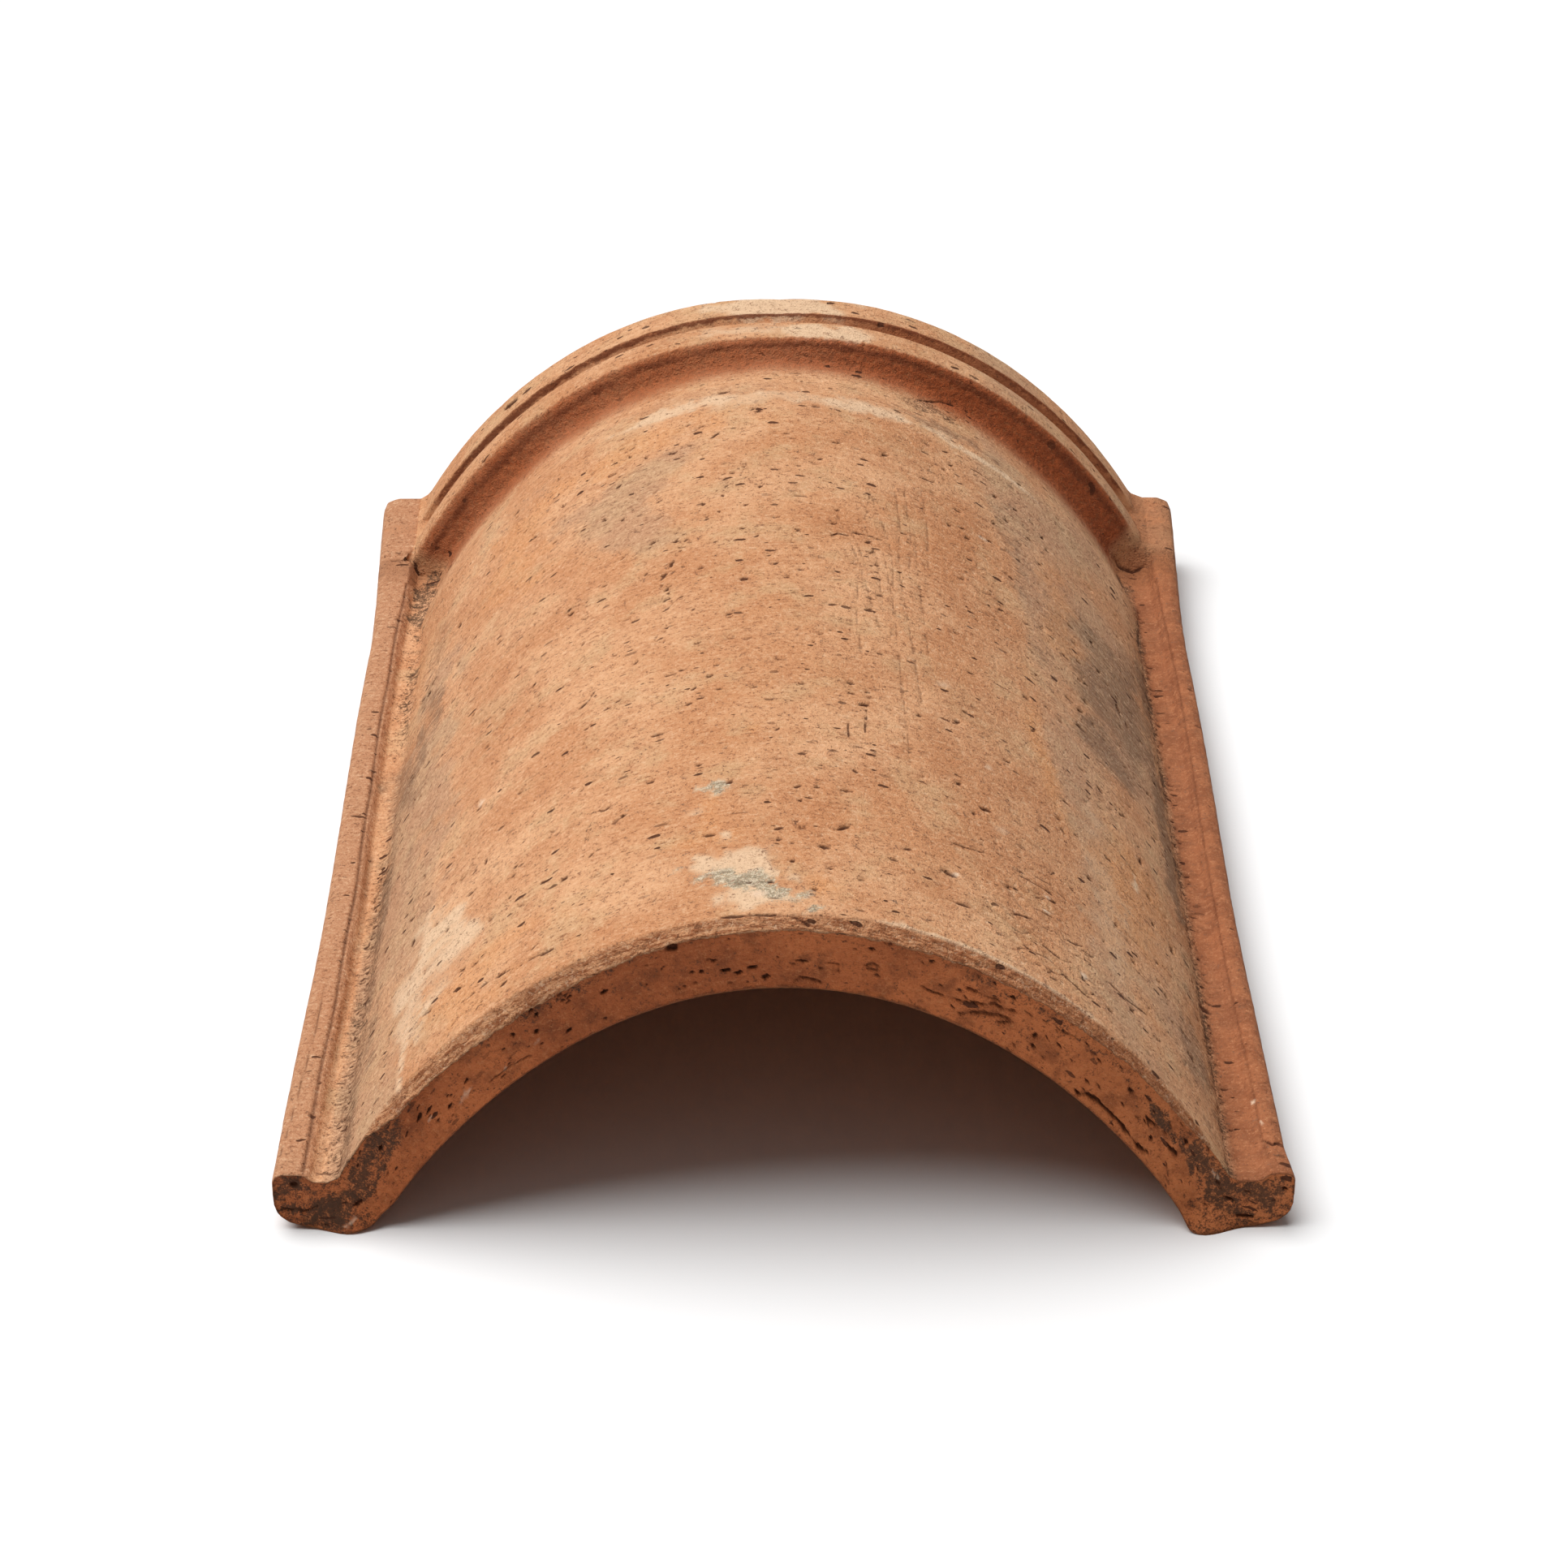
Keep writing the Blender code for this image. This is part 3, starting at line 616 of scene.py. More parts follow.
# Lumps of clay pressed forward at the feet of the plain end: right of the middle, how far forward.
FOOT_LUMPS = ((96, 3), (-98, 2.2))
FACE_STEPS = 40
SMALL_FACE_PITS = 130
FACE_PIT_DEPTH, FACE_PIT_DARK = 0.8, 0.9
FACE_SUNK, FACE_BUMPS = 0.34, ((9, 0.20), (2.5, 0.10))  # how deep, then sizes and heights of its bumps
for row, inward, lay_start in ((0, 1, 0), (rows - 1, -1, LENGTH)):
    upper = points[row, :tops]
    coarse = np.concatenate([body[row, :1], body[row, tops:][::-1], body[row, tops - 1:tops]])
    share = np.arange(tops) / COARSER_UNDERNEATH
    under = vertices[0][coarse]
    lower = np.stack([np.interp(share, np.arange(bottoms), under[:, k]) for k in range(3)], axis=1)
    thickness = np.linalg.norm(lower - upper, axis=1)[1:-1]
    down = (np.arange(1, FACE_STEPS) / FACE_STEPS)[:, None]
    inside = mixed(upper[1:-1], lower[1:-1], down[:, :, None])
    worn = np.interp(across[:, 1:-1], *np.array(WORN_DEEP).T) if inward > 0 else COLLAR_END_WEAR
    deep = down * thickness
    from_edge = deep + worn
    face_skin = Skin(across[:, 1:-1], -from_edge, 61 + row)
    if inward > 0:
        for right, drop, long, wide, tilt in FACE_PITS:
            face_skin.press(right, -drop, long, wide, tilt, FACE_PIT_DEPTH, FACE_PIT_DARK)
        for width, depth, line in FACE_CUTS:
            dark = 0.5 + 0.3 * (width > 0.45)
            face_skin.score(0.85 * width, depth, dark, tuple((right, -drop) for right, drop in line))
    for _ in range(SMALL_FACE_PITS):
        long = rng.uniform(0.3, 0.8)
        right, drop, tilt = rng.uniform(-144, 144), rng.uniform(1, 24), rng.uniform(-40, 40)
        face_skin.press(right, -drop, long, long * 0.6, tilt, 0.4, rng.uniform(0.3, 1))
    bumps = [depth * waves(face_skin.across, face_skin.along, size, 63) for size, depth in FACE_BUMPS]
    sunk = FACE_SUNK + sum(bumps) + 0.10 * face_skin.crumbs + face_skin.dents
    inside[:, :, 1] += inward * sunk * eased(deep / 0.8) * eased((thickness - deep) / 0.8)
    lay_along = lay_start + inward * face_skin.along
    inside_lay = np.stack([face_skin.across, lay_along, np.ones(deep.shape)], axis=2)
    inside_marks = np.zeros(deep.shape + (4,))
    inside_marks[:, :, 0] = face_skin.dark
    index = np.empty((FACE_STEPS, tops), int)
    index[0] = body[row, :tops]
    index[1:, 0] = body[row, 0]
    index[1:, -1] = body[row, tops - 1]
    index[1:, 1:-1] = count + np.arange((FACE_STEPS - 1) * (tops - 2)).reshape(FACE_STEPS - 1, -1)
    count += (FACE_STEPS - 1) * (tops - 2)
    vertices.append(inside.reshape(-1, 3))
    lays.append(inside_lay.reshape(-1, 3))
    marked.append(inside_marks.reshape(-1, 4))
    a, b, c, d = index[-1, 0:-1:3], index[-1, 1::3], index[-1, 2::3], index[-1, 3::3]
    left, right = coarse[:-1], coarse[1:]
    seam = ((a, b, left), (b, right, left), (b, c, right), (c, d, right))
    faces = np.concatenate([grid_triangles(index)] + [np.stack(corners, -1) for corners in seam])
    if inward > 0:
        faces = faces[:, ::-1]
    keep = (faces[:, 0] != faces[:, 1]) & (faces[:, 1] != faces[:, 2]) & (faces[:, 0] != faces[:, 2])
    triangles.append(faces[keep])

vertices, triangles = np.concatenate(vertices), np.concatenate(triangles)
lays, marked = np.concatenate(lays), np.concatenate(marked)
for right, forward in FOOT_LUMPS:
    from_lump = np.linalg.norm((vertices - (right, -LENGTH / 2, 0)) / (10, 11, 7), axis=1)
    vertices[:, 1] -= forward * eased(1 - from_lump)
# The inner corner of the left foot is knocked off.
LEFT_FOOT_CORNER = (-93, -LENGTH / 2, 0.5)
from_corner = np.linalg.norm((vertices - LEFT_FOOT_CORNER) / (9, 14, 9), axis=1)
KNOCKED_BACK = (-1, 0.4, 1.1)
vertices += np.array(KNOCKED_BACK) * eased(1 - from_corner)[:, None]

mesh = bpy.data.meshes.new("clay tile")
mesh.vertices.add(len(vertices))
mesh.vertices.foreach_set("co", (vertices * MM).ravel())
mesh.loops.add(triangles.size)
mesh.loops.foreach_set("vertex_index", triangles.ravel().astype(np.int32))
mesh.polygons.add(len(triangles))
mesh.polygons.foreach_set("loop_start", np.arange(0, triangles.size, 3, dtype=np.int32))
mesh.update(calc_edges=True)
mesh.attributes.new("lay", "FLOAT_VECTOR", "POINT").data.foreach_set("vector", lays.ravel())
mesh.attributes.new("marks", "FLOAT_COLOR", "POINT").data.foreach_set("color", marked.ravel())
clay = bpy.data.objects.new("clay_tile", mesh)
clay.location.x = ARCH_RIGHT_OF_MIDDLE * MM
scene.collection.objects.link(clay)

# The mesh is thinned, but least where there are marks and along the collar.
MOST_TRIANGLES = 196000
on_collar = (lays[:, 1] > 306) & (lays[:, 1] < 332) & (lays[:, 2] < 0.5)
kept = marked[:, 0] > np.where(on_collar, 0.02, 0.06)
fine = clay.vertex_groups.new(name="fine")
fine.add(np.flatnonzero(kept).tolist(), 1, "REPLACE")
thinner = clay.modifiers.new("thinner", "DECIMATE")
thinner.vertex_group = fine.name
thinner.invert_vertex_group = True
thinner.ratio = MOST_TRIANGLES / len(triangles)
shown = bpy.data.meshes.new_from_object(clay.evaluated_get(bpy.context.evaluated_depsgraph_get()))
clay.modifiers.clear()
clay.data = shown
shown.shade_smooth()
clay.vertex_groups.clear()


def read(items, name, width, kind=float):
    """One value of every vertex or corner of the mesh."""
    values = np.empty(len(items) * width, kind)
    items.foreach_get(name, values)
    return values.reshape(-1, width)


# The clay laid flat, the top beside the underside and the two ends above them, for baking its colours.
places = read(shown.attributes["lay"].data, "vector", 3)
standing = read(shown.vertices, "co", 3) / MM
corners = read(shown.loops, "vertex_index", 1, int).reshape(-1, 3)
corner_of = corners.ravel()
kinds = places[corners, 2]
middle_along = places[corners, 1].mean(axis=1)
near_end = (middle_along < 1) | (middle_along > LENGTH - 1)
ends_here = (np.abs(kinds - 1) < 0.5).any(axis=1) | (near_end & (np.ptp(kinds, axis=1) > 1))
kinds_of = [ends_here, middle_along > LENGTH / 2, kinds.mean(axis=1) > 1]
is_end, is_collar_end, is_under = np.repeat(kinds_of, 3, axis=1)
BAKE_SCALE, BESIDE, ABOVE = 0.0016, 306, 346
HALF_END, HALF_TOP, MARGIN = 122, 152, 2
end_across = standing[corner_of, 0] + HALF_END + 2 * HALF_END * is_collar_end
skin_across = places[corner_of, 0] + HALF_TOP + BESIDE * is_under
flat = np.empty((len(corner_of), 2))
flat[:, 0] = np.where(is_end, end_across, skin_across)
flat[:, 1] = np.where(is_end, standing[corner_of, 2] + ABOVE, places[corner_of, 1]) + MARGIN
shown.uv_layers.new(name="OFBake").data.foreach_set("uv", (flat * BAKE_SCALE).ravel())
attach(clay, "root")
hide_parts("clay_roof_tile")


# What the kiln and the weather did to the colour: smoke turned the flanks tan and grey, the fire caught some
# places orange, lime bloomed white near the plain end, and soot and dirt stayed in the left trough and on the
# feet. Painted shade lies beside the lips, at the foot of the right trough's wall and in the collar's cove,
# and a painted highlight along the plain end's worn edge.
# Here a is how far right of the crown a place lies, and v how far from the plain end. On the plain end itself
# r is how far down from its top edge.
a, v, z = places.T
on_top = (z < 0.5) * 1.0
on_plain_face = ((z > 0.5) & (z < 1.5) & (v < 1)) * 1.0
r = -v


def stain(patches, fields=(), along=v):
    """The strongest of some patches and fields. A patch: middle, size, turn, seed, raggedness, strength."""
    laid = [patch(a, along, row[:2], row[2:4], *row[4:7]) * row[7] for row in patches]
    return np.maximum.reduce(laid + list(fields))


RIGHT_BORDER = (
    (0, 84), (25, 81), (50, 80), (75, 77), (100, 74), (130, 71),
    (160, 70), (200, 67), (225, 66), (245, 62), (262, 54), (285, 60),
)
right_border = np.interp(v, *np.array(RIGHT_BORDER).T)
right_border = right_border + 2 * waves(a, v, 14, 101) + 0.8 * waves(a, v, 3, 102)
right_flank = eased((a - right_border) / 5 + 0.5) * eased((128 - a) / 6)
left_border = np.interp(v, (0, 30, 60, 100, 125), (-104, -103, -100, -98, -98)) + 0.8 * waves(a, v, 9, 103)
left_flank = eased((left_border - a) / 3 + 0.5) * eased((a + 133.5) / 3) * eased((128 - v) / 30)
smoky = patch(a, v, (105, 186), (33, 66), -10, 111, 0.45) * right_flank
# A painted highlight: a thin pale line at the inner border of the plain end's worn edge.
edge_highlight = eased(1 - np.abs(v - 3.6 + (a - 50) * 0.008) / 0.9)
tan = stain((
    (84, 60, 9, 70, 0, 162, 0.4, 0.8), (-40, 228, 26, 34, 10, 106, 0.6, 0.8),
    (71, 236, 8, 42, 2, 107, 0.35, 0.85), (79, 266, 15, 9, -25, 109, 0.35, 0.8),
    (81, 116, 9, 44, 3, 108, 0.35, 1), (-115, 150, 19, 110, 2, 110, 0.5, 1),
    (-24, 290, 60, 8, 0, 99, 0.3, 0.45),
), (
    right_flank * (0.55 + 0.5 * waves(a, v, 20, 128)) * eased((v - 96) / 34),
    right_flank * eased((122 - v) / 28) * (0.40 + 0.45 * waves(a, v, 16, 104)),
    left_flank * (0.8 + 0.35 * waves(a, v, 15, 105)),
)) * on_top
smoke = stain((
    (70, 232, 10, 34, 4, 112, 0.6, 0.4), (112, 84, 9, 12, 20, 113, 0.7, 0.3),
    (119, 34, 10, 38, 0, 114, 0.6, 0.6), (123, 140, 6, 70, 0, 115, 0.35, 1),
    (125, 230, 5, 40, 0, 124, 0.35, 0.8), (-121, 50, 6, 24, 0, 116, 0.35, 0.6),
    (-126, 118, 5, 30, 0, 117, 0.35, 0.9), (-115, 240, 8, 22, 0, 119, 0.35, 0.4),
    (-46, 232, 20, 24, 0, 120, 0.7, 0.22), (52, 284, 20, 6, 0, 121, 0.5, 0.7),
    (-14, 20, 10, 8, -40, 122, 0.35, 0.3), (58, 30, 18, 18, 0, 123, 0.7, 0.25),
), (
    eased(1.3 - np.abs(a + 127) / 5.5) * (0.55 + 0.25 * waves(a, v, 12, 161)) * eased((240 - v) / 60),
    smoky * (0.75 + 0.35 * waves(a, v, 12, 127)),
    patch(a, v, (-119, 188), (14, 60), -4, 118, 0.6) * (0.62 + 0.4 * waves(a, v * 0.3, 3, 129)),
    patch(a, v, (-112, 118), (12, 40), -4, 130, 0.6) * (0.35 + 0.3 * waves(a, v * 0.3, 3, 129)),
)) * on_top
cream_and_highlight = stain((
    (87, 74, 10, 62, 2, 164, 0.5, 0.42), (-4, 280.5, 66, 7.5, 0, 71, 0.4, 0.5),
    (-26, 281, 28, 6, 0, 100, 0.4, 0.75), (26, 278.5, 30, 5, 0, 72, 0.3, 0.8),
    (60, 275.6, 24, 2.4, -2, 73, 0.2, 1), (-100, 26, 8, 20, 20, 70, 0.5, 0.6),
    (0, 336, 27, 11, 0, 75, 0.35, 1.1), (12, 319.5, 20, 7, 0, 76, 0.4, 1),
    (0, 320, 46, 6, 0, 157, 0.3, 0.4), (-10, 319, 16, 3, 0, 84, 0.6, 0.6),
    (-9, 27, 16, 11, -36, 77, 0.5, 1), (-8, 12, 11, 6, -14, 78, 0.5, 1),
    (-20, 52, 4, 3, 0, 79, 0.35, 0.7), (99, 60, 14, 26, 0, 80, 0.6, 0.22),
    (101, 90, 1.6, 6, 0, 81, 0.35, 0.9), (-16.5, 62, 4, 5, 0, 82, 0.6, 0.8),
    (-84, 272, 30, 10, 0, 83, 0.35, 0.25),
), (
    patch(a, v, (-94, 54), (20, 32), 25, 74, 0.45) * (0.62 + 0.4 * waves(a * 0.25, v, 3, 160)),
    eased(1 - np.abs(a - left_border - 0.5) / 2.6) * eased((92 - v) / 20) * 0.8,
    # The painted highlight along the worn edge, right of the crown.
    edge_highlight * eased((a - 16) / 10) * eased((84 - a) / 10) * 0.9,
)) * on_top
orange = stain((
    (94, 78, 20, 56, 0, 155, 0.5, 0.9), (84, 205, 9, 36, 0, 156, 0.5, 0.65),
    (-50, 265, 44, 9, 3, 91, 0.6, 0.75), (-80, 240, 12, 30, 12, 92, 0.6, 0.7),
    (-76, 22, 24, 16, 0, 93, 0.6, 0.75), (-17, 44, 7, 14, 0, 94, 0.6, 0.7),
    (8, 16, 5, 7, 0, 95, 0.5, 1), (-7.5, 88, 1.9, 2.2, 0, 97, 0.35, 1),
    (-125, 240, 5, 30, 0, 98, 0.35, 0.4),
), (
    eased(1 - np.abs(a - right_border + 3) / 4) * patch(a, v, (72, 118), (30, 44), 0, 96),
)) * on_top
powder = stain((
    (-8, 16, 16, 5.5, -32, 85, 0.6, 1), (-16, 62, 4, 5, 0, 86, 0.6, 0.8),
)) * on_top
deep_red_and_shade = stain((
    (46, 205, 32, 86, 0, 87, 0.5, 0.62), (48, 104, 28, 60, 0, 158, 0.5, 0.5),
    (-78, 160, 20, 60, 0, 159, 0.6, 0.25), (60, 44, 24, 44, 0, 88, 0.6, 0.5),
    (86, 216, 8, 36, 0, 89, 0.35, 0.8), (-86, 88, 12, 16, 0, 90, 0.35, 0.3),
    (10, 60, 18, 30, 0, 126, 0.6, 0.4),
), (
    # Painted shade on the left lip's inner wall, painted shade in the collar's cove right of the crown, and a
    # darker band in the cove at the far left.
    eased(1.7 - np.abs(a + 136.2) / 1.6),
    eased((v - 292) / 12) * eased((a - 20) / 30) * eased((316 - v) / 4) * 0.8,
    eased((v - 292) / 12) * eased((-70 - a) / 20) * eased((316 - v) / 4) * 0.6,
)) * on_top
grime_and_shade_on_top = stain((
    # Dark patches where the troughs close at the collar, one on the right trough's foot, one by the collar
    # right of the crown, and two in the left trough.
    (-129.5, 305, 4, 6, 0, 139, 0.5, 0.6), (127.5, 303, 4, 6, 0, 140, 0.5, 1),
    (129.5, 70, 1.6, 2.4, 0, 141, 0.35, 0.8), (44, 298, 8, 6, 0, 147, 0.7, 0.5),
    (-131.5, 290, 5, 26, 0, 163, 0.4, 0.7), (-130, 235, 3.5, 40, 0, 144, 0.5, 0.5),
), (
    # Grime in the furrows of the left trough, and painted shade along the foot of the right trough's wall.
    eased(1.4 - np.abs(a + 128) / 5) * (0.34 + 0.60 * furrowed(a, v)) * eased((170 - v) / 40) * 0.5,
    eased(1 - np.abs(a - 128.3) / 3) * (0.55 + 0.35 * waves(a, v, 7, 143)) * eased((306 - v) / 8),
)) * on_top
soot_on_end = stain((
    (-117, 6, 15, 8, -10, 131, 0.5, 0.75), (-128, 11, 14, 6, -15, 132, 0.5, 0.85),
    (-139, 9.8, 7, 2, 0, 133, 0.6, 1), (-139.5, 3, 6, 3.6, 0, 134, 0.6, 0.8),
    (102, 8, 9, 4.5, 0, 135, 0.6, 0.8), (118, 6, 9, 5, 0, 136, 0.6, 0.8),
    (133, 7, 17, 10, 0, 137, 0.5, 0.8), (-54, 5.5, 30, 3, 0, 138, 0.6, 0.45),
    (70, 5, 30, 3, 0, 146, 0.6, 0.35),
), (
    eased((np.abs(a) - 108) / 20) * 0.42,
), r) * on_plain_face
soot_and_shade = np.maximum(grime_and_shade_on_top, soot_on_end)

# Fresh chips, pale in their break: where, and their size. Those on the plain end are by how far down.
FRESH = (
    (58, 224.5, 1), (-83, 108, 0.9), (41.5, 126.5, 0.9), (75.5, 19.8, 1.3), (-23, 221.5, 0.8),
    (4.5, 190.5, 0.7), (53, 93, 0.9), (66.5, 45.2, 0.9), (65.5, 38.2, 1), (41, 34.2, 0.9),
    (-7.5, 92.8, 0.8), (-3, 154.8, 0.8), (71.5, 97, 0.6), (71, 61, 0.5), (54.5, 64, 0.6),
    (-6, 12, 1.6), (137, 30, 1), (139, 21, 1), (130.4, 99, 0.6),
)
FRESH_ON_END = (
    (-93.5, 14.5, 0.9), (-80.5, 17, 1.6), (-59, 15, 0.8), (-68, 18, 1), (124, 4.5, 1.3), (103, 13, 0.7),
    (-125, 15.5, 0.9),
)
fresh = np.zeros(len(a))
for right, forward, size in FRESH:
    fresh = np.maximum(fresh, on_top * patch(a, v, (right, forward), (size * 1.5, size), 20, 151, 0.2))
for right, drop, size in FRESH_ON_END:
    chip = patch(a, r, (right, drop), (size * 1.2, size * 0.6), -20, 152, 0.5)
    fresh = np.maximum(fresh, on_plain_face * chip * 0.55)
STAINS = {"stains_and_highlight": (tan, smoke, cream_and_highlight, orange), "dirt_and_shade": (powder, deep_red_and_shade, soot_and_shade, fresh)}
for name, fields in STAINS.items():
    colours = np.clip(np.stack(fields, axis=1), 0, 1)
    shown.attributes.new(name, "FLOAT_COLOR", "POINT").data.foreach_set("color", colours.ravel())


# The clay itself: an open, gritty body, fired without a glaze. It burned from orange to buff, each grain a
# little lighter or darker, and it is full of small pores. The stains lie over that, coat upon coat, with
# painted shade in hollows and shaded places and a painted highlight on the plain end's worn edge.
class Wire:
    """A socket that carries a number, so that sums on it add Math nodes."""

    def __init__(self, nodes, socket):
        self.nodes = nodes
        self.socket = socket

    def other(self, name):
        """Another socket of the same node."""
        return Wire(self.nodes, self.socket.node.outputs[name])

    def math(self, operation, first, second):
        return self.nodes.add("Math", {"operation": operation}, {0: first, 1: second})

    def __add__(self, other):
        return self.math("ADD", self, other)

    def __sub__(self, other):
        return self.math("SUBTRACT", self, other)

    def __rsub__(self, other):
        return self.math("SUBTRACT", other, self)

    def __mul__(self, other):
        return self.math("MULTIPLY", self, other)

    def __abs__(self):
        return self.nodes.add("Math", {"operation": "ABSOLUTE"}, {0: self})

    __radd__ = __add__
    __rmul__ = __mul__

    def between(self, low, high):
        """Rises softly from 0 at low to 1 at high."""
        settings = {"interpolation_type": "SMOOTHSTEP"}
        return self.nodes.add("MapRange", settings, {"Value": self, "From Min": low, "From Max": high})


class Nodes:
    """The nodes of one material."""

    def __init__(self, tree):
        self.tree = tree
        self.tree.nodes.clear()

    def add(self, kind, settings=None, sockets=None, output=0, prefix="ShaderNode"):
        node = self.tree.nodes.new(prefix + kind)
        for name, value in (settings or {}).items():
            setattr(node, name, value)
        for name, value in (sockets or {}).items():
            if isinstance(value, Wire):
                self.tree.links.new(value.socket, node.inputs[name])
            else:
                node.inputs[name].default_value = value
        return Wire(self, node.outputs[output]) if node.outputs else None

    def mix(self, share, one, other):
        one, other = (c if isinstance(c, Wire) else (*c, 1) for c in (one, other))
        return self.add("Mix", {"data_type": "RGBA"}, {0: share, 6: one, 7: other}, 2)

    def noise(self, vector, size, detail=3, rough=0.55):
        sockets = {"Vector": vector, "Scale": 1 / size, "Detail": detail, "Roughness": rough}
        return self.add("TexNoise", None, sockets)

    def pores(self, right, up, long, wide, share, least, most):
        """Scattered dark dashes, a share of all cells, that lie along the arch."""
        placed = self.add("CombineXYZ", None, {0: right * (1 / long), 1: up * (1 / wide)})
        bent = self.add("VectorMath", {"operation": "MULTIPLY_ADD"}, {
            0: self.add("TexNoise", None, {"Vector": placed, "Scale": 2.5, "Detail": 2}, 1),
            1: (0.35, 0.35, 0),
            2: placed,
        })
        cell = self.add("TexVoronoi", {"voronoi_dimensions": "2D"}, {"Vector": bent, "Scale": 1})
        luck = self.add("SeparateColor", None, {0: cell.other("Color")})
        size = least + luck.other("Green") * (most - least)
        inside = (size - cell).between(0, 0.05)
        chosen = (luck - (1 - share)).between(0, 0.02)
        return inside * chosen * (0.2 + 1.1 * luck.other("Blue"))


material = bpy.data.materials.new("fired clay")
material.use_nodes = True
clay_nodes = Nodes(material.node_tree)
add, mix, noise = clay_nodes.add, clay_nodes.mix, clay_nodes.noise


def painted(name):
    """The four masks that one of the mesh's colour attributes holds."""
    attribute = add("Attribute", {"attribute_name": name})
    split = add("SeparateColor", None, {0: attribute})
    return split, split.other("Green"), split.other("Blue"), attribute.other("Alpha")


unrolled = add("SeparateXYZ", None, {0: add("Attribute", {"attribute_name": "lay"}, None, 1)})
right, up, side = unrolled, unrolled.other("Y"), unrolled.other("Z")
solid = add("VectorMath", {"operation": "SCALE"}, {0: add("TexCoord", None, None, 3), "Scale": 1000})
pit, wear, _, _ = painted("marks")
tan_, smoke_, cream_and_highlight_, orange_ = painted("stains_and_highlight")
powder_, red_and_shade_, soot_and_shade_, fresh_ = painted("dirt_and_shade")
face = side.between(0.3, 0.7)
under = side.between(1.3, 1.7)

cloud = noise(solid, 30, 4)
blotch = noise(solid, 7, 4, 0.6)
mottle = noise(solid, 2.6, 3, 0.6)
grit = noise(solid, 1.1, 4, 0.7)
dust = noise(solid, 0.42, 2, 0.7)
along_arch = add("CombineXYZ", None, {0: right * 0.13, 1: up * 1.1, 2: side * 9})
streak = noise(along_arch, 1, 4, 0.65)
torn = noise(along_arch, 0.7, 5, 0.75)
ochre = noise(solid, 16, 5, 0.65)
crowding = cloud.between(0.35, 0.62)
pores = clay_nodes.pores(right, up, 9, 4.2, 0.10 + 0.40 * crowding, 0.06, 0.19)
pinholes = clay_nodes.pores(right, up, 2.9, 1.5, 0.05 + 0.14 * crowding, 0.06, 0.20)


def ragged(mask, amount):
    """A stain with its border broken up by the streaks and the grit of the clay."""
    return (mask + (streak - 0.5) * amount + (grit - 0.5) * (0.6 * amount)).between(0.12, 0.88)


def speckled(mask, amount):
    """A stain that lies in grains, fewer of them toward its border."""
    grains = (dust - 0.5) * amount + (grit - 0.5) * amount + (mottle - 0.5) * amount
    return (mask * 1.15 + grains).between(0.16, 0.95)


# Lip and ear tops, the steep front of the collar, and the two dark lines in its groove; the darkness of the
# front, the groove and the seam across the front is painted shade.
GROOVE_MIDDLE, LINES_APART, SEAM_AT = 328.6, 1.4, 312.6
lip_left, lip_right = (right * -1).between(133.5, 136.5), right.between(126.5, 131)
skewed = up - COLLAR_SKEW * add("SeparateXYZ", None, {0: solid}) + (mottle - 0.5) * 1.2
front = skewed.between(297, 310) * (1 - skewed.between(313.4, 315.4))
groove = abs(skewed - GROOVE_MIDDLE)
lines = (1 - abs(groove - LINES_APART).between(0.15, 0.75)) * (0.5 + 0.9 * blotch)
seam = (1 - abs(skewed - SEAM_AT).between(0.1, 1)) * (1.6 * blotch - 0.1)
recess = 1 - groove.between(1, 3.2)
on_arch = 1 - abs(right).between(121, 126)

# What the coats are painted with, where it isn't one colour alone.
# The right lip and ear: browner clay, and painted shade where the arch shades them.
shaded_lip = mix(blotch.between(0.4, 0.6), (0.235, 0.070, 0.028), (0.335, 0.112, 0.046))
smoked = mix(ochre.between(0.40, 0.62), (0.500, 0.268, 0.148), (0.530, 0.312, 0.172))
dusty = mix(grit.between(0.42, 0.60), (0.25, 0.20, 0.13), (0.72, 0.60, 0.43))
# The plain end: darker and redder than the top, partly the clay's own colour and partly painted shade, and
# blotchy.
end_clay_and_shade = mix(cloud.between(0.4, 0.6), (0.38, 0.100, 0.032), (0.53, 0.150, 0.049))
end_clay_and_shade = mix(right.between(0, 110) * 0.6, end_clay_and_shade, (0.62, 0.200, 0.068))
end_clay_and_shade = mix(blotch.between(0.46, 0.70) * 0.65, end_clay_and_shade, (0.165, 0.044, 0.016))
# The worn chamfer's colour, darker right of the crown as painted shade.
worn_clay_and_shade = mix(right.between(-10, 60), (0.62, 0.30, 0.145), (0.50, 0.205, 0.088))
torn_edge_and_shade = mix(torn.between(0.42, 0.58), (0.27, 0.085, 0.030), worn_clay_and_shade)
# Painted shade for the collar's steep front.
front_shade = mix(grit.between(0.35, 0.65), (0.22, 0.041, 0.010), (0.50, 0.108, 0.028))
grain = (grit - 0.5) * 1.8 + (dust - 0.5) * 1.3 + (streak - 0.5) * 0.8 + (mottle - 0.5) * 0.8
# Darker, redder grains where shade is painted: the plain end, the collar's front and recess, and the right
# lip.
in_painted_shade = (face + front + recess + lip_right * 0.7).between(0, 1)
pale_grain_and_shade = mix(in_painted_shade, (0.86, 0.58, 0.37), (0.58, 0.22, 0.085))
grime_and_shade = (soot_and_shade_ * 1.15 + (dust - 0.5) * 2 + (grit - 0.5) * 2.4 + (mottle - 0.5) * 1.2).between(0.22, 1)
holes = pit + pores * 0.9 + pinholes * 0.45

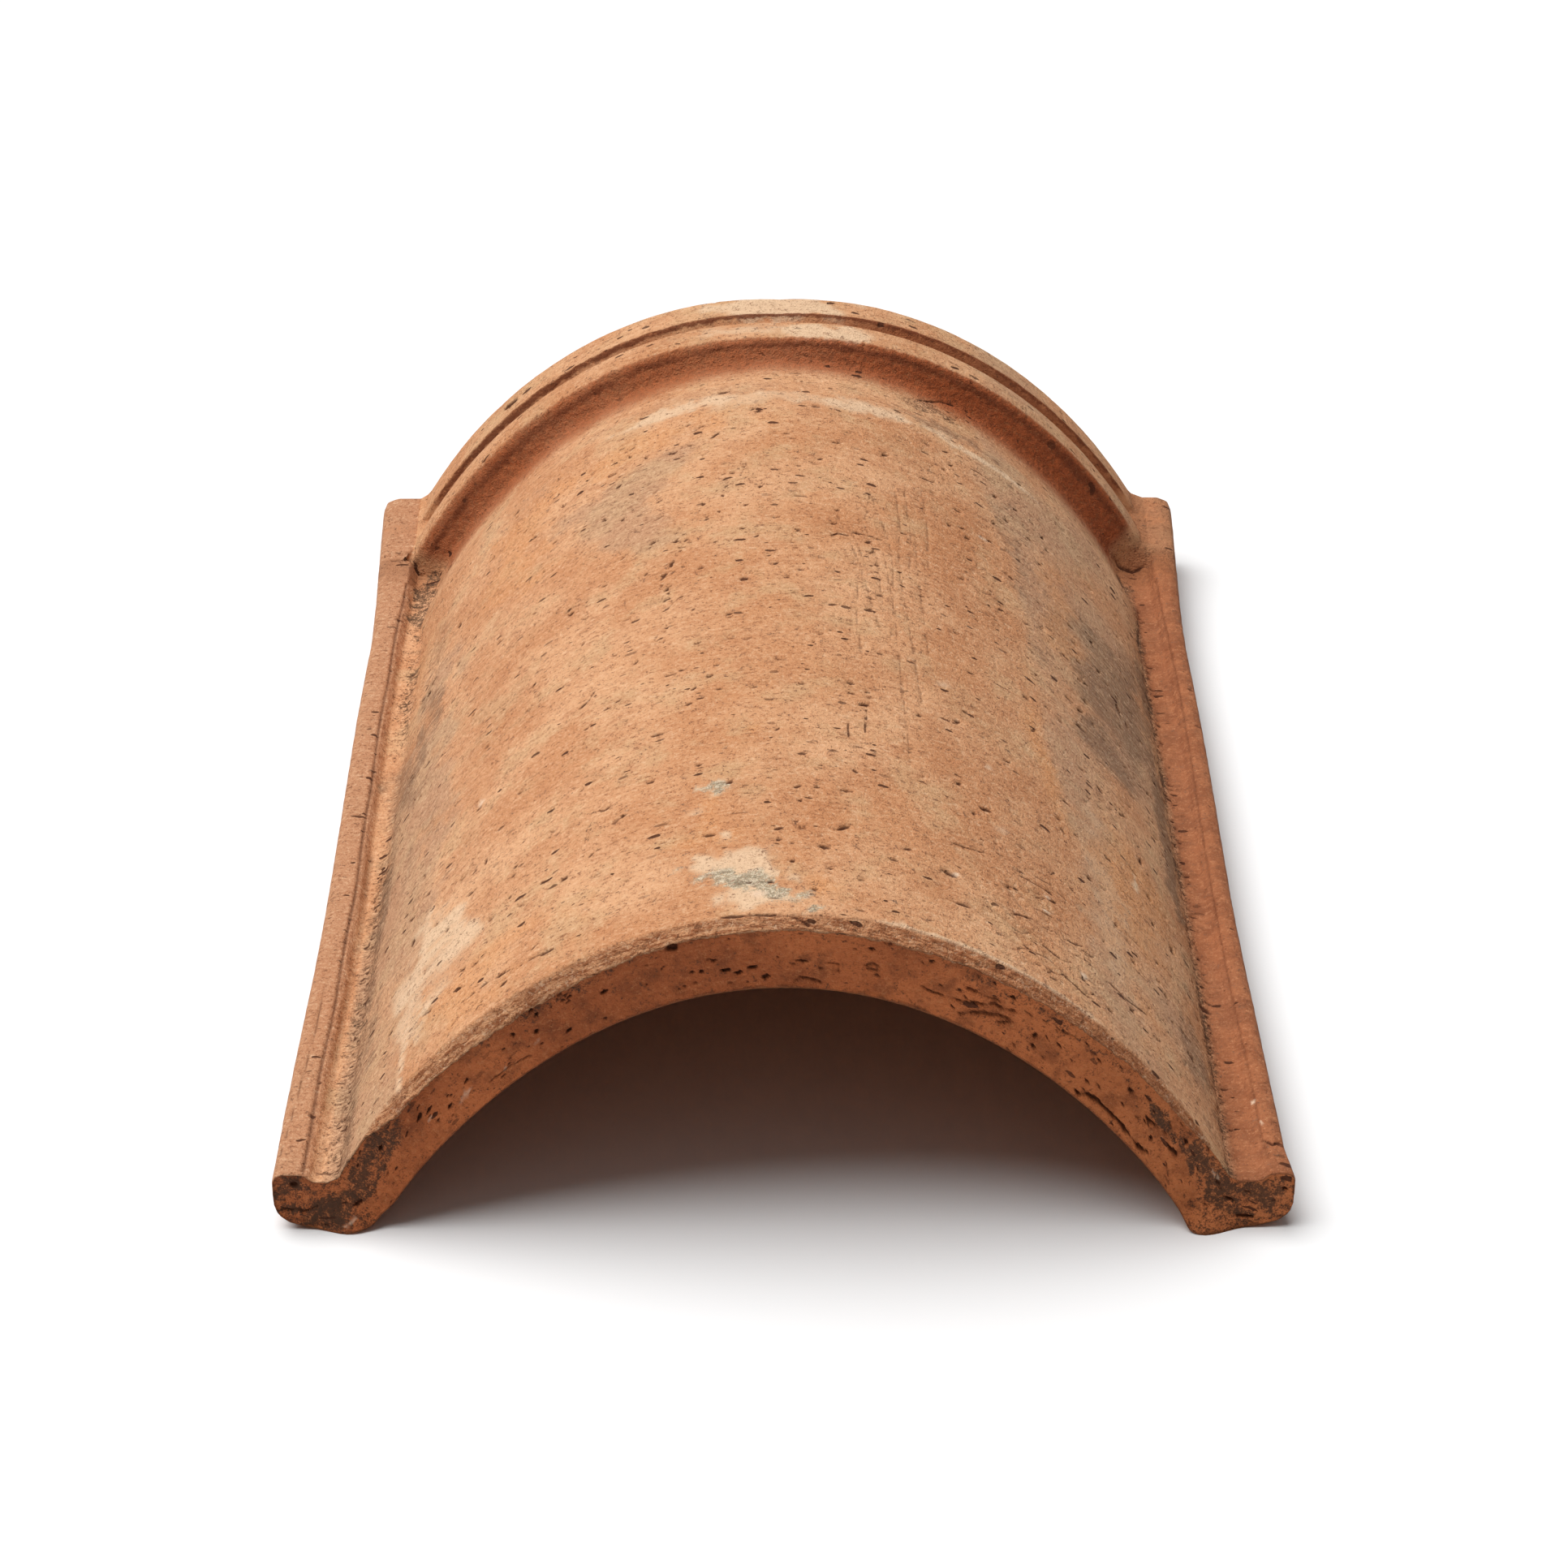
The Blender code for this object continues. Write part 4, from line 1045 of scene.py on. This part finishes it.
# Coat upon coat: how much of each, and its colour.
colour = mix(cloud.between(0.35, 0.65), (0.570, 0.260, 0.118), (0.685, 0.365, 0.190))
for share, tint in (
    (ochre.between(0.48, 0.66) * 0.7, (0.585, 0.345, 0.178)),
    (blotch.between(0.45, 0.75) * 0.50, (0.49, 0.21, 0.095)),
    # Deep red stains, and painted shade on the left lip's inner wall and in the collar's cove.
    (red_and_shade_ * (0.4 + 0.8 * mottle), (0.47, 0.185, 0.074)),
    (lip_left * 0.8, (0.480, 0.230, 0.122)),
    # The right lip: browner clay with painted shade.
    (lip_right * (0.9 - 0.3 * up.between(290, 316)), shaded_lip),
    (ragged(tan_, 1.1) * 0.9, smoked),
    (ragged(smoke_, 1) * (0.15 + 1.3 * streak), (0.255, 0.145, 0.082)),
    (orange_ * (0.4 + 0.7 * blotch), (0.655, 0.295, 0.120)),
    # Pale cream stains, and the painted highlight on the plain end's worn edge.
    (speckled(cream_and_highlight_, 0.75) * 0.85, (0.76, 0.53, 0.34)),
    (speckled(powder_, 1.3), dusty),
    # The plain end, partly painted shade.
    (face, end_clay_and_shade),
    (under * 0.6, (0.46, 0.18, 0.08)),
    # The worn chamfer, with painted shade on its right part.
    (wear * 0.95, torn_edge_and_shade),
    # Painted shade on the collar's steep front, in its groove's recess, along the groove's two lines and
    # along the seam.
    (front * on_arch * (0.70 + 0.20 * right.between(-40, 60)), front_shade),
    (recess * on_arch * (0.15 + 0.7 * right.between(0, 40)), (0.33, 0.095, 0.033)),
    ((lines + seam).between(0, 1) * on_arch * 0.9, (0.155, 0.036, 0.012)),
    (grain.between(0, 0.55) * 0.75, (0.27, 0.080, 0.028)),
    ((0 - grain).between(0, 0.60) * 0.50, pale_grain_and_shade),
    # Soot and grime, and the painted shade along the foot of the right trough's wall.
    (grime_and_shade * 0.85, (0.052, 0.032, 0.020)),
    (fresh_ * 0.85, (0.80, 0.58, 0.41)),
    # Painted shade in the pits, cracks, scratches, pores and pinholes.
    (holes.between(0, 0.85) * 0.92, (0.070, 0.020, 0.008)),
):
    colour = mix(share, colour, tint)

height = (grit - 0.5) * 0.60 + (dust - 0.5) * 0.26 + (streak - 0.5) * 0.24 + (mottle - 0.5) * 0.55
height = height * (1 + 0.9 * front + 0.7 * wear + 0.5 * face) - pores * 0.35 - pinholes * 0.15
bump = add("Bump", None, {"Strength": 1, "Distance": 0.001, "Height": height})
finish = add("BsdfPrincipled", None, {
    "Base Color": colour,
    "Roughness": 0.82 + 0.16 * grit,
    "Specular IOR Level": 0.2,
    "Normal": bump,
})
add("OutputMaterial", None, {"Surface": finish})
shown.materials.clear()
shown.materials.append(material)


# The studio: a wide white floor, a big soft lamp high over the tile and a little to the left, and faint light
# from the ceiling.
REACH = 3
floor_corners = [(-REACH, -REACH, 0), (REACH, -REACH, 0), (REACH, REACH, 0), (-REACH, REACH, 0)]
floor_mesh = bpy.data.meshes.new("floor")
floor_mesh.from_pydata(floor_corners, [], [(0, 1, 2, 3)])
floor = bpy.data.objects.new("floor", floor_mesh)
scene.collection.objects.link(floor)
white = bpy.data.materials.new("white floor")
white.use_nodes = True
floor_nodes = Nodes(white.node_tree)
paint = {"Base Color": (0.8, 0.8, 0.8, 1), "Roughness": 0.9, "Specular IOR Level": 0.1}
floor_nodes.add("OutputMaterial", None, {"Surface": floor_nodes.add("BsdfPrincipled", None, paint)})
floor_mesh.materials.append(white)

LAMP_STRENGTH, LAMP_WIDTH = 3.95, 57
LAMP_TURNED = (-3.5, -20, 0)
lamp_data = bpy.data.lights.new("soft lamp", "SUN")
lamp_data.energy = LAMP_STRENGTH
lamp_data.angle = math.radians(LAMP_WIDTH)
lamp = bpy.data.objects.new("soft lamp", lamp_data)
lamp.rotation_euler = [math.radians(turn) for turn in LAMP_TURNED]
scene.collection.objects.link(lamp)

room = bpy.data.worlds.new("room")
room.use_nodes = True
room_nodes = Nodes(room.node_tree)
upward = room_nodes.add("SeparateXYZ", None, {0: room_nodes.add("TexCoord")}).other("Z")
faint = {"Color": (1, 1, 1, 1), "Strength": 0.27 * upward.between(0.05, 1)}
ceiling = room_nodes.add("Background", None, faint)
room_nodes.add("OutputWorld", None, {"Surface": ceiling})
scene.world = room
scene.view_settings.view_transform = "Standard"
